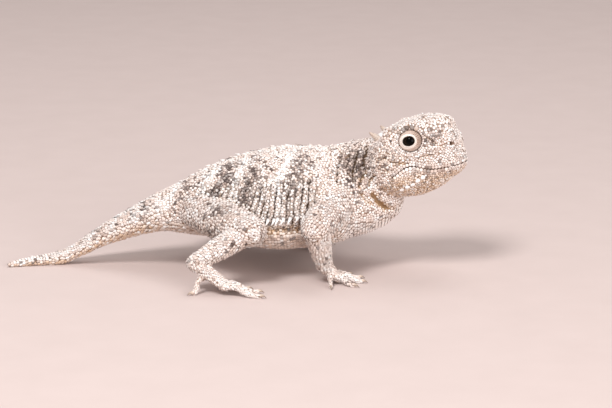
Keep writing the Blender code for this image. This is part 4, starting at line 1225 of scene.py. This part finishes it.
def spine_mesh(name, roots, aims, lies, lengths, widths, marks, uv, tip_shade, finish):
    """Tapered spines, each a little bent towards its lie, with a sunken foot."""
    sides, sizes = 8, np.array((1.1, 1.0, 0.70, 0.36, 0.03))
    across = unit(np.cross(aims, lies) + 1e-6)
    over = np.cross(aims, across)
    angle = turns(sides)
    wide, high = np.cos(angle) * (1 + 0.16 * np.cos(2 * angle)), np.sin(angle)
    circle = across[:, None] * wide[None, :, None] + over[:, None] * high[None, :, None]
    rings = []
    for step, size in zip((-0.18, 0.0, 0.35, 0.7, 1.0), sizes):
        bend = 0.22 * lengths * max(step, 0) ** 2
        centre = roots + aims * (lengths * step)[:, None] + lies * bend[:, None]
        rings.append(centre[:, None] + circle * (widths * size)[:, None, None])
    each, k = sides * len(sizes), np.arange(sides)
    ends = np.stack([k[::-1], k + each - sides])
    flat = np.stack([np.cos(angle), np.sin(angle)], 1) * PATCH / 2
    patch = np.concatenate([flat * s for s in sizes])
    shape = [grid_quads(len(sizes), sides), ends]
    made = repeated_mesh(name, np.concatenate(rings, axis=1), shape, uv, patch)
    colours(made.data, "markings", np.repeat(marks, each, axis=0))
    floats(made.data, "shade", np.repeat(CHANCE.uniform(0.35, 0.9, len(roots)), each))
    # Painted shade: the scales' material reads this rise and darkens the sunken foot of each spine.
    floats(made.data, "rise", np.tile(np.repeat((0.0, 0.4, 0.8, 0.9, 1.0), sides), len(roots)))
    tips = tip_shade * CHANCE.random(len(roots)) ** 1.5
    floats(made.data, "fleck", (tips[:, None] * np.repeat((0, 0, 0.1, 0.5, 1.0), sides)).ravel())
    finished(made, finish)


def build_skin(finish):
    points, triangles = blended_skin(TUBES)
    skin = Skin(points, triangles)
    skin.relax(6)
    locate(skin, TUBES)
    skin.push(np.full(len(skin.points), -SKIN_DEPTH))
    wrinkle(skin)
    part_lips(skin)
    shape_orbits(skin)
    skin.points[:, 2] = np.maximum(skin.points[:, 2], SKIN_GAP)
    skin.settle()
    mark(skin)
    unwrap(skin, TUBES)
    skin.grow_tree()
    made = mesh_object("skin", skin.points, skin.triangles)
    lay_map(made.data, skin.uv_corners)
    colours(made.data, "markings", skin.marks)
    # Where the skin's material paints shade: creases and mouth, and deepest in the mouth and nostrils.
    floats(made.data, "crease", np.maximum(skin.crease, skin.mouth))
    floats(made.data, "deep", np.maximum(skin.mouth, skin.nostril))
    finished(made, finish)
    flesh = [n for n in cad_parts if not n.startswith(("eye_", "horn_"))]
    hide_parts(*sorted(flesh))
    return skin


def grid_mesh(name, grid, matrix, ring=False):
    """A closed mesh from rows of points, moved by a matrix, its faces turned outward."""
    count, around = grid.shape[:2]
    faces, points = grid_faces(count, around, ring), moved(grid.reshape(-1, 3), matrix)
    corners = points[np.array([f[:3] for f in faces])] - points.mean(0)
    if dot(corners[:, 0], np.cross(corners[:, 1], corners[:, 2])).sum() < 0:
        faces = [f[::-1] for f in faces]
    return mesh_object(name, points, faces)


def build_eye(side, finish):
    """The eyeball with the bulge of its cornea."""
    polar, angle = np.linspace(0.001, math.pi, 56)[:, None], turns(72)[None]
    radius = EYE_RADIUS + 0.28 * smooth(np.degrees(polar), 46, 8)
    out = np.degrees(polar) + 0 * angle
    across = radius * np.sin(polar)
    grid = np.stack([across * np.cos(angle), across * np.sin(angle), radius * np.cos(polar) + 0 * angle], -1)
    made = grid_mesh(f"eye_ball_{WORD[side]}", grid, eye_frame(side))
    floats(made.data, "iris", (smooth(out, 20, 24) * smooth(out, 42, 38)).ravel())
    floats(made.data, "white", smooth(out, 44, 50).ravel())
    finished(made, finish)
    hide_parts(f"eye_{WORD[side]}")


def build_lids(side, finish):
    """The lids of one eye as one ring: a thick margin, the pale fold round it and fine wrinkles."""
    share, angle = np.linspace(0, 1, 56)[:, None], turns(240)[None]
    cos, sin = np.cos(angle), np.sin(angle)
    squeeze = 1 - 0.06 * np.abs(sin) ** 3
    inner = np.stack([OPENING[0] * cos - OPENING_BACK, OPENING[1] * sin * squeeze], -1)
    outer = np.stack([LID_RIM[0] * cos, LID_RIM[1] * sin], -1)
    flat = inner + (outer - inner) * share[..., None]
    width = np.linalg.norm(outer - inner, axis=-1)
    away = width * share                                   # millimetres from the margin
    left = width - away                                    # and from the outer crease
    out = np.hypot(flat[..., 0], flat[..., 1])
    ball = np.sqrt(np.maximum((EYE_RADIUS + 0.04) ** 2 - out**2, 0.0))
    dome = np.sqrt(np.maximum(3.2**2 - out**2, 0.05)) - 0.55
    lift = smooth(away, 0.0, 0.14)
    depth = ball * (1 - lift) + np.maximum(dome, ball + 0.1) * lift
    front, low, back = np.clip(cos, 0, 1) ** 2, np.clip(-sin, 0, 1), np.clip(-cos, 0, 1)
    # The pale fold has a width of its own all round, with a furrow behind it.
    cream = 0.52 + 0.34 * back + 0.12 * low + 0.03 * np.sin(angle * 17) * np.cos(angle * 5)
    wrinkled = smooth(away, cream - 0.06, cream + 0.26)
    depth = depth + 0.10 * bump(away, 0.2, 0.1) - 0.12 * bump(away, cream + 0.06, 0.07)
    row = np.round(away / 0.3)
    beads = np.sin(away * 21) * np.sin(angle * (28 + 10 * row) + 2 * row)
    depth = depth + 0.09 * beads * wrinkled + 0.09 * np.sin(angle * 30) * wrinkled * front
    depth = depth - 1.2 * smooth(left, 0.16, 0.0)
    grid = np.concatenate([flat, depth[..., None]], -1)
    inside = grid[:1] * (1.03, 1.03, 1) - (0, 0, 0.35)
    outside = grid[-1:] * (0.98, 0.98, 1) - (0, 0, 0.5)
    grid = np.concatenate([inside, grid, outside])
    made = grid_mesh(f"eyelids_{WORD[side]}", grid, eye_frame(side), ring=True)
    # Painted shade: the outer crease and the furrow behind the pale fold are darkened, the crease widest and
    # darkest on the lower side, and the pale fold is dimmer and browner on its lower side.
    rim = smooth(left, 0.14 + 0.34 * low + 0.1 * front, 0.0)
    dark = rim * (0.7 + 0.3 * low) + 0.3 * bump(away, cream + 0.06, 0.05)
    folds = 0.14 + 0.2 * front + 0.3 * front * np.sin(angle * 30) + 0.28 * beads
    ochre = wrinkled * (0.35 + 0.3 * np.maximum(low, front))
    ochre = ochre + 0.5 * smooth(sin, 0.3, 0.9) * smooth(left, 0.5, 0.2)
    pale = smooth(away, cream + 0.12, cream - 0.12) * smooth(away, 0.0, 0.08)
    pale = pale * (0.85 - 0.25 * front - 0.2 * low)
    marks = np.stack([np.maximum(dark, wrinkled * folds), ochre, pale], -1)
    marks = np.concatenate([marks[:1], marks, marks[-1:]])
    colours(made.data, "markings", np.clip(marks.reshape(-1, 3), 0, 1))
    finished(made, finish)


def build_horn(side, finish):
    """A short horn with rings of growth, curved a little upward."""
    aim, root = unit(mirrored(HORN_AIM, side)), mirrored(HORN_ROOT, side)
    across = unit(np.cross(UP, aim))
    over = np.cross(aim, across)
    share = np.linspace(0, 1, 40)
    length = HORN_LENGTH + 1.5
    radius = HORN_RADIUS * np.maximum(1 - share, 0) ** 0.55 + 0.04
    radius = radius * (1 + 0.03 * np.sin(share * 44)) + 0.05 * bump(share, 0.36, 0.05)
    centres = root + aim * (length * share)[:, None] + over * (0.5 * share**2)[:, None]
    grid = round_rings(centres, radius, 28, across, over)
    made = grid_mesh(f"horn_sheath_{WORD[side]}", grid, HEAD_TO_BODY)
    floats(made.data, "rise", np.repeat(share, 28))
    finished(made, finish)
    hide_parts(f"horn_{WORD[side]}")


def build_claws(kind, side, finish):
    """The claws of one hand or foot, curved down to the floor."""
    _, _, wrist = limb_joints(kind, side)
    count, around, rings = 14, 10, []
    share = np.linspace(0, 1, count)
    rise = 0.22 * np.sin(math.pi * share) - 0.42 * share**2
    for digit in FINGERS if kind == "arm" else TOES:
        places, _, run = digit_path(digit, wrist, side)
        base = places[5] + UP * 0.1 - run * 0.15
        centres = base + run * ((CLAW + 0.1) * share)[:, None] + UP * rise[:, None]
        centres[:, 2] = np.maximum(centres[:, 2], 0.08)
        radius = 0.4 * (1 - share) ** 0.75 + 0.03
        rings.append(round_rings(centres, radius, around, unit(np.cross(UP, run)) * 0.8, UP))
    faces = [f + count * around * n for n in range(len(rings)) for f in grid_faces(count, around)]
    made = mesh_object(f"claws_of_{kind}_{WORD[side]}", np.reshape(rings, (-1, 3)), faces)
    floats(made.data, "rise", np.tile(np.repeat(share, around), len(rings)))
    finished(made, finish)


class Tree:
    """A few short words for wiring nodes."""

    def __init__(self, nodes, links):
        self.nodes, self.links = nodes, links

    def node(self, kind, inputs=(), **settings):
        made = self.nodes.new(kind)
        for key, value in settings.items():
            setattr(made, key, value)
        for key, value in dict(inputs).items():
            self.feed(made.inputs[key], value)
        return made

    def feed(self, socket, value):
        if isinstance(value, bpy.types.NodeSocket):
            self.links.new(value, socket)
        elif isinstance(value, tuple) and len(value) == 3 and socket.type == "RGBA":
            socket.default_value = (*value, 1)
        else:
            socket.default_value = value

    def maths(self, operation, a, b=0.0, clamp=False):
        return self.node("ShaderNodeMath", {0: a, 1: b}, operation=operation, use_clamp=clamp).outputs[0]

    def mixed(self, share, a, b):
        made = self.node("ShaderNodeMix", data_type="RGBA")
        for key, value in ((0, share), (6, a), (7, b)):
            self.feed(made.inputs[key], value)
        return made.outputs[2]

    def clouds(self, place, size, detail=3.0, roughness=0.55):
        inputs = {"Vector": place, "Scale": 1 / (size * MM), "Detail": detail, "Roughness": roughness}
        return self.node("ShaderNodeTexNoise", inputs).outputs["Fac"]

    def spread(self, value, low, high):
        made = self.node("ShaderNodeMapRange", {"Value": value, "From Min": low, "From Max": high})
        return made.outputs["Result"]

    def attribute(self, name, output="Fac"):
        return self.node("ShaderNodeAttribute", attribute_name=name).outputs[output]

    def place(self):
        return self.node("ShaderNodeTexCoord").outputs["Object"]


def new_material(name):
    """A material, its shader and the tree to wire it with."""
    made = bpy.data.materials.new(name)
    made.use_nodes = True
    tree = Tree(made.node_tree.nodes, made.node_tree.links)
    return made, tree.nodes["Principled BSDF"], tree


def group(name, inputs, outputs, wire):
    """A shader node group: inputs and outputs are (name, socket type, value)."""
    made = bpy.data.node_groups.new(name, "ShaderNodeTree")
    for word, kind, value in inputs:
        socket = made.interface.new_socket(name=word, in_out="INPUT", socket_type=kind)
        if value is not None:
            socket.default_value = (*value, 1) if kind == "NodeSocketColor" else value
    for word, kind in outputs:
        made.interface.new_socket(name=word, in_out="OUTPUT", socket_type=kind)
    tree = Tree(made.nodes, made.links)
    start, end = made.nodes.new("NodeGroupInput"), made.nodes.new("NodeGroupOutput")
    results = wire(tree, start.outputs)
    for word, value in results.items():
        tree.feed(end.inputs[word], value)
    return made


COLOUR, NUMBER = "NodeSocketColor", "NodeSocketFloat"


def pattern_group():
    """The lizard's markings over a ground colour, broken up by grain."""

    def wire(tree, given):
        place = tree.place()
        split = tree.node("ShaderNodeSeparateColor", {"Color": given["Markings"]}).outputs
        soft = tree.clouds(place, 3.2)
        grain = tree.clouds(place, 0.55, 4.0)
        ground = tree.mixed(tree.spread(soft, 0.36, 0.66), given["Pale"], given["Warm"])
        ochre = tree.maths("MULTIPLY", split["Green"], tree.spread(grain, 0.2, 0.6), clamp=True)
        ground = tree.mixed(ochre, ground, given["Ochre"])
        mottled = tree.maths("MULTIPLY", tree.spread(grain, 0.5, 0.75), 0.4, clamp=True)
        ground = tree.mixed(mottled, ground, given["Grey"])
        ground = tree.mixed(split["Blue"], ground, given["White"])
        ground = tree.mixed(tree.spread(given["Shade"], 0.5, 1.0), ground, given["White"])
        ground = tree.mixed(tree.spread(given["Shade"], 0.4, 0.0), ground, given["Grey"])
        patchy = tree.maths("MULTIPLY", split["Red"], tree.spread(grain, 0.15, 0.42), clamp=True)
        return {"Color": tree.mixed(patchy, ground, given["Dark"]), "Grain": grain}

    inputs = [
        ("Markings", COLOUR, (0, 0, 0)), ("Pale", COLOUR, (0.8, 0.7, 0.65)),
        ("Warm", COLOUR, (0.8, 0.65, 0.55)), ("Ochre", COLOUR, (0.5, 0.3, 0.12)),
        ("White", COLOUR, (0.9, 0.88, 0.86)), ("Dark", COLOUR, (0.1, 0.08, 0.07)),
        ("Grey", COLOUR, (0.5, 0.42, 0.38)), ("Shade", NUMBER, 0.5),
    ]
    return group("Lizard pattern", inputs, [("Color", COLOUR), ("Grain", NUMBER)], wire)


def relief_group():
    """Fine relief for a bump: grain of one size over a coarser one."""

    def wire(tree, given):
        place, scale = tree.place(), tree.maths("DIVIDE", 1 / MM, given["Size"])
        inputs = {"Vector": place, "Scale": scale, "Detail": 4.0}
        fine = tree.node("ShaderNodeTexNoise", inputs).outputs["Fac"]
        coarse = tree.clouds(place, 0.9, 2.0)
        height = tree.maths("ADD", tree.maths("MULTIPLY", fine, 0.7), tree.maths("MULTIPLY", coarse, 0.3))
        rough = tree.maths("ADD", given["Roughness"], tree.maths("MULTIPLY", fine, 0.22))
        return {"Height": height, "Roughness": rough}

    inputs = [("Size", NUMBER, 0.2), ("Roughness", NUMBER, 0.6)]
    return group("Fine relief", inputs, [("Height", NUMBER), ("Roughness", NUMBER)], wire)


def add_relief(tree, shader, relief, size, roughness, strength):
    """Fine grain of the size in millimetres, as a bump and in the roughness."""
    fine = tree.node("ShaderNodeGroup", {"Size": size, "Roughness": roughness}, node_tree=relief)
    inputs = {"Height": fine.outputs["Height"], "Strength": strength, "Distance": 0.05 * MM}
    tree.feed(shader.inputs["Normal"], tree.node("ShaderNodeBump", inputs).outputs[0])
    tree.feed(shader.inputs["Roughness"], fine.outputs["Roughness"])


def add_pattern(tree, pattern, shade=0.5, **colours_by_name):
    """The markings, in a material's own colours."""
    inputs = {"Markings": tree.attribute("markings", "Color"), "Shade": shade, **colours_by_name}
    return tree.node("ShaderNodeGroup", inputs, node_tree=pattern).outputs


def scale_finish(pattern, relief):
    """Cream to greyish scales with brown flecks and the dark markings, their feet painted dark brown as
    shade.
    """
    made, shader, tree = new_material("scales")
    colour = add_pattern(
        tree, pattern, shade=tree.attribute("shade"), Pale=(0.82, 0.755, 0.725), Warm=(0.79, 0.655, 0.59),
        Ochre=(0.63, 0.41, 0.23), White=(0.93, 0.915, 0.905), Dark=(0.062, 0.040, 0.037),
        Grey=(0.52, 0.405, 0.355),
    )["Color"]
    # Painted shade: the low parts of each scale, its foot and the underside of its rear edge, turn dark
    # brown.
    low = tree.maths("MULTIPLY", tree.spread(tree.attribute("rise"), 0.6, 0.05), 0.95)
    colour = tree.mixed(low, colour, (0.13, 0.075, 0.058))
    fleck = tree.maths("MULTIPLY", tree.attribute("fleck"), 0.9, clamp=True)
    tree.feed(shader.inputs["Base Color"], tree.mixed(fleck, colour, (0.16, 0.09, 0.065)))
    add_relief(tree, shader, relief, 0.16, 0.5, 0.5)
    return made


def skin_finish(pattern, relief):
    """The skin between the scales: ochre and brown, with painted shade in the folds, mouth and nostrils."""
    made, shader, tree = new_material("skin_between_scales")
    marked = add_pattern(
        tree, pattern, Pale=(0.24, 0.16, 0.12), Warm=(0.24, 0.145, 0.095), Ochre=(0.40, 0.22, 0.085),
        White=(0.60, 0.52, 0.45), Dark=(0.05, 0.038, 0.032),
    )
    # Painted shade: creases and the mouth groove turn dark brown, the mouth and nostrils darker still.
    crease, grain = tree.spread(tree.attribute("crease"), 0.35, 0.9), tree.spread(marked["Grain"], 0.25, 0.6)
    folded = tree.maths("MULTIPLY", crease, grain, clamp=True)
    colour = tree.mixed(folded, marked["Color"], (0.14, 0.075, 0.035))
    colour = tree.mixed(tree.spread(tree.attribute("deep"), 0.3, 0.9), colour, (0.085, 0.038, 0.022))
    tree.feed(shader.inputs["Base Color"], colour)
    add_relief(tree, shader, relief, 0.12, 0.62, 0.6)
    return made


def lid_finish(pattern, relief):
    """The lids: cream at the margin, greyish in front, brown in the crease as painted shade."""
    made, shader, tree = new_material("eyelids")
    marked = add_pattern(
        tree, pattern, Pale=(0.70, 0.58, 0.52), Warm=(0.60, 0.46, 0.39), Ochre=(0.42, 0.27, 0.19),
        White=(0.84, 0.77, 0.71), Dark=(0.050, 0.026, 0.020),
    )
    tree.feed(shader.inputs["Base Color"], marked["Color"])
    add_relief(tree, shader, relief, 0.1, 0.5, 0.45)
    return made


def eye_finish():
    """A near-black eye with a thin brown iris under a wet surface."""
    made, shader, tree = new_material("eye")
    streaks = tree.clouds(tree.place(), 0.25, 4.0)
    iris = tree.maths("MULTIPLY", tree.attribute("iris"), streaks, clamp=True)
    colour = tree.mixed(iris, (0.002, 0.0015, 0.0015), (0.02, 0.011, 0.006))
    tree.feed(shader.inputs["Base Color"], tree.mixed(tree.attribute("white"), colour, (0.03, 0.02, 0.016)))
    for socket, value in (
        ("Roughness", 0.05), ("Specular IOR Level", 0.0), ("Coat Weight", 0.13), ("Coat Roughness", 0.02),
    ):
        shader.inputs[socket].default_value = value
    return made


def horn_finish(name, relief, root, tip):
    """Horn or claw: paler at the root, darker to the tip, faintly streaked."""
    made, shader, tree = new_material(name)
    streaks = tree.clouds(tree.place(), 0.6, 4.0)
    rise = tree.maths("ADD", tree.attribute("rise"), tree.maths("MULTIPLY", streaks, 0.4))
    tree.feed(shader.inputs["Base Color"], tree.mixed(tree.spread(rise, 0.35, 1.25), root, tip))
    add_relief(tree, shader, relief, 0.25, 0.38, 0.35)
    return made


def build_floor():
    """A plain pale floor."""
    bpy.ops.mesh.primitive_circle_add(vertices=96, radius=4.0, fill_type="NGON", location=(0, 0, 0))
    floor = bpy.context.object
    floor.name = "floor"
    made, shader, tree = new_material("pale_floor")
    soft = tree.clouds(tree.place(), 12.0, 5.0)
    tree.feed(shader.inputs["Base Color"], tree.mixed(soft, (0.62, 0.515, 0.49), (0.57, 0.47, 0.445)))
    shader.inputs["Roughness"].default_value = 0.9
    floor.data.materials.append(made)


# A soft lamp: its name, place, the height that it is aimed at, its size in metres and its power.
LAMPS = [
    ("key", (-0.20, -0.44, 0.62), 0.01, 0.26, 4.6), ("fill", (0.45, -0.62, 0.22), 0.015, 0.6, 4.3),
    ("top", (0.1, 0.3, 0.75), 0.01, 0.5, 1.6),
]


def light_studio():
    for name, place, height, size, power in LAMPS:
        data = bpy.data.lights.new(name, "AREA")
        data.shape, data.size, data.energy, data.color = "DISK", size, power, (1.0, 0.985, 0.975)
        lamp = bpy.data.objects.new(name, data)
        lamp.location = place
        lamp.rotation_euler = (Vector((0, 0, height)) - Vector(place)).to_track_quat("-Z", "Y").to_euler()
        bpy.context.scene.collection.objects.link(lamp)
    world = bpy.data.worlds.new("studio")
    world.use_nodes = True
    world.node_tree.nodes["Background"].inputs["Color"].default_value = (0.93, 0.895, 0.885, 1)
    world.node_tree.nodes["Background"].inputs["Strength"].default_value = 0.5
    bpy.context.scene.world = world
    bpy.context.scene.view_settings.view_transform = "Standard"


CAMERA_DISTANCE = 620.0     # from the middle of the footprint
CAMERA_ELEVATION = 15.0     # degrees above the floor, seen from there
SCALE_OF_PHOTO = 4.0        # pixels a millimetre, at that distance
PHOTO_WIDTH, PHOTO_HEIGHT = 612, 408
FOOTPRINT_ROW = 264.0       # the photo's row where the middle of the footprint lies


def set_camera():
    """The photograph's viewpoint: level with the animal's side and a little above it."""
    data = bpy.data.cameras.new("camera")
    half = PHOTO_WIDTH / 2 / SCALE_OF_PHOTO
    data.angle = 2 * math.atan(half / CAMERA_DISTANCE)
    camera = bpy.data.objects.new("camera", data)
    tilt = math.radians(CAMERA_ELEVATION)
    camera.location = (
        FRAME_SHIFT[0] * MM, -CAMERA_DISTANCE * MM * math.cos(tilt), CAMERA_DISTANCE * MM * math.sin(tilt)
    )
    rise = (FOOTPRINT_ROW - PHOTO_HEIGHT / 2) / SCALE_OF_PHOTO
    camera.rotation_euler = (math.pi / 2 - tilt + math.atan(rise / CAMERA_DISTANCE), 0, 0)
    data.clip_start, data.clip_end = 0.02, 20
    bpy.context.scene.collection.objects.link(camera)
    bpy.context.scene.camera = camera


def back_spines(skin):
    """The larger spines of the back, neck, tail and limbs."""
    spaced, found = Crowd(3.4), []
    trunk, angle, x = in_part(skin, "trunk"), trunk_angle(skin), skin.points[:, 0]
    for mask, count, room, low, high, lean, width in (
        (trunk * smooth(angle, 66, 48) * (x > -34) * (x < 9), 3600, 1.25, 0.5, 1.25, 1.25, 0.40),
        (in_part(skin, "neck"), 700, 1.05, 0.5, 1.1, 1.3, 0.40),
        (trunk * (x < -33) * (x > -70) * (angle < 96), 1800, 0.75, 0.45, 0.85, 1.5, 0.42),
        (in_part(skin, *LONG_BONES), 2500, 0.95, 0.45, 0.85, 1.9, 0.5),
    ):
        spots = skin.at_random(skin.areas * mask[skin.triangles[:, 0]], count)
        ok = skin.read(skin.bare, *spots[1:]) < 0.4
        kept = np.zeros(count, bool)
        kept[ok] = spaced.settle(spots[0][ok], np.full(ok.sum(), room), 1.0)
        size = CHANCE.uniform(low, high, kept.sum())
        found.append((*(s[kept] for s in spots), size, np.full(kept.sum(), lean), size * width))
    places, index, weights, size, lean, width = (np.concatenate(c) for c in zip(*found))
    normals, lie = skin.flow(index, weights)
    aims = unit(normals + lie * lean[:, None])
    marks = skin.read(skin.marks, index, weights)
    return places, aims, lie, size, width, marks, skin.map_place(index, weights)


def fringe_spines(skin):
    """The row of long pale scales along each edge of the belly."""
    table, around = np.array(TRUNK), 120
    roots, outs = [], []
    for spot in (around // 2 - 1, 1):           # on the right edge, then on the left
        for x in np.arange(6.0, -24.0, -1.55):
            t = np.interp(-x, -table[:, 0], np.arange(len(table)))
            ring = loft(TRUNK, np.array([t]), around)[0]
            roots.append(ring[spot])
            outs.append(unit(ring[spot] - ring.mean(0)))
    lies = np.tile((-1.0, 0, 0), (len(roots), 1))
    places, index, weights, far = skin.under(np.array(roots))
    ok = (far < 0.9) & (skin.part[skin.triangles[index, 0]] == PARTS.index("trunk"))
    aims = unit(np.array(outs) * (0.5, 0.5, 0) + lies * 0.3 - UP)
    size = CHANCE.uniform(1.3, 1.9, len(roots))
    marks = np.tile((0.0, 0.05, 1.0), (len(roots), 1))
    uv = skin.map_place(index, weights)
    return tuple(a[ok] for a in (places, aims, lies, size, size * 0.27, marks, uv))


def temple_spines(skin):
    """Short spines behind the head, over the brow and along the jaw."""
    rows = []
    for side in (RIGHT, LEFT):
        for height, x, length in ((6.4, 0.8, 1.3), (3.6, 0.0, 1.2), (0.6, 0.2, 1.1), (-2.2, 1.4, 1.0)):
            rows.append(((x, 0, height), (-0.15, side, 0), (-0.9, 0.3 * side, 0.05), length, 0.3))
        for height, x, length in ((5.0, 1.6, 0.8), (2.0, 1.4, 0.85), (-0.8, 2.2, 0.7), (4.6, 3.4, 0.6)):
            rows.append(((x, 0, height), (-0.1, side, 0), (-0.7, 0.3 * side, 0.05), length, 0.45))
        rows.append(((3.4, 6.6 * side, 6.0), (0, 0, 1), (-0.85, 0.35 * side, 0.5), 1.1, 0.7))
        for x in np.linspace(4.6, 14.6, 15):
            height = 10.1 - 0.42 * max(0.0, x - 8.6)
            rows.append(((x, 0, height), (0, side, 0.12), (-0.3, 0.1 * side, 0.7), 0.5, 0.6))
        for x, height in ((2.6, 3.2), (4.0, 2.3), (1.0, 1.9), (4.2, 1.0), (2.2, 4.6), (5.6, 3.6)):
            rows.append(((x, 0, height), (0, side, 0), (-0.6, 0, 0.1), 0.62, 0.62))
        for x in np.linspace(3.6, 16.8, 16):
            rows.append(((x, 0, -6.4 + 0.17 * (x - 5)), (0, side, -0.25), (-0.5, 0, -0.3), 0.6, 0.5))
    found, turned = [], HEAD_TO_BODY[:3, :3]
    for start, direction, lean, length, width in rows:
        start, direction = from_head(start), turned @ unit(np.array(direction, float))
        place, normal, index, _ = skin.tree.ray_cast(Vector(start + direction * 20), Vector(-direction))
        if place is not None:
            aim = unit(np.array(normal) + turned @ np.array(lean, float))
            found.append((place, aim, length, width * length, index))
    roots, aims, lengths, widths, index = (np.array(c) for c in zip(*found))
    back = turned @ np.array((-1.0, 0, 0))
    lies = unit(back - aims * (aims @ back)[:, None])
    marks = skin.marks[skin.triangles[index, 0]]
    return roots, aims, lies, lengths, widths, marks, skin.uv_corners[index, 0]


set_camera()
light_studio()
build_floor()
PATTERN, RELIEF = pattern_group(), relief_group()
SCALES = scale_finish(PATTERN, RELIEF)
skin = build_skin(skin_finish(PATTERN, RELIEF))
scales = Scales(skin)
for name, tip_shade, spines in (
    ("spines_of_back", 0.8, back_spines(skin)), ("fringe", 0.1, fringe_spines(skin)),
    ("spines_of_head", 1.3, temple_spines(skin)),
):
    spine_mesh(name, *spines, tip_shade, SCALES)
    roots, widths = spines[0], spines[4]
    scales.crowd.settle(roots, widths * 0.8, 0.0)
grow_scales(skin, scales)
scales.gather()
colour_scales(scales)
coat_pieces(scales, SCALES)
LIDS, EYE = lid_finish(PATTERN, RELIEF), eye_finish()
HORN = horn_finish("horn", RELIEF, (0.72, 0.62, 0.54), (0.42, 0.31, 0.25))
CLAWS = horn_finish("claw", RELIEF, (0.62, 0.50, 0.41), (0.13, 0.085, 0.06))
for side in (RIGHT, LEFT):
    build_eye(side, EYE)
    build_lids(side, LIDS)
    build_horn(side, HORN)
    for kind in ("arm", "leg"):
        build_claws(kind, side, CLAWS)
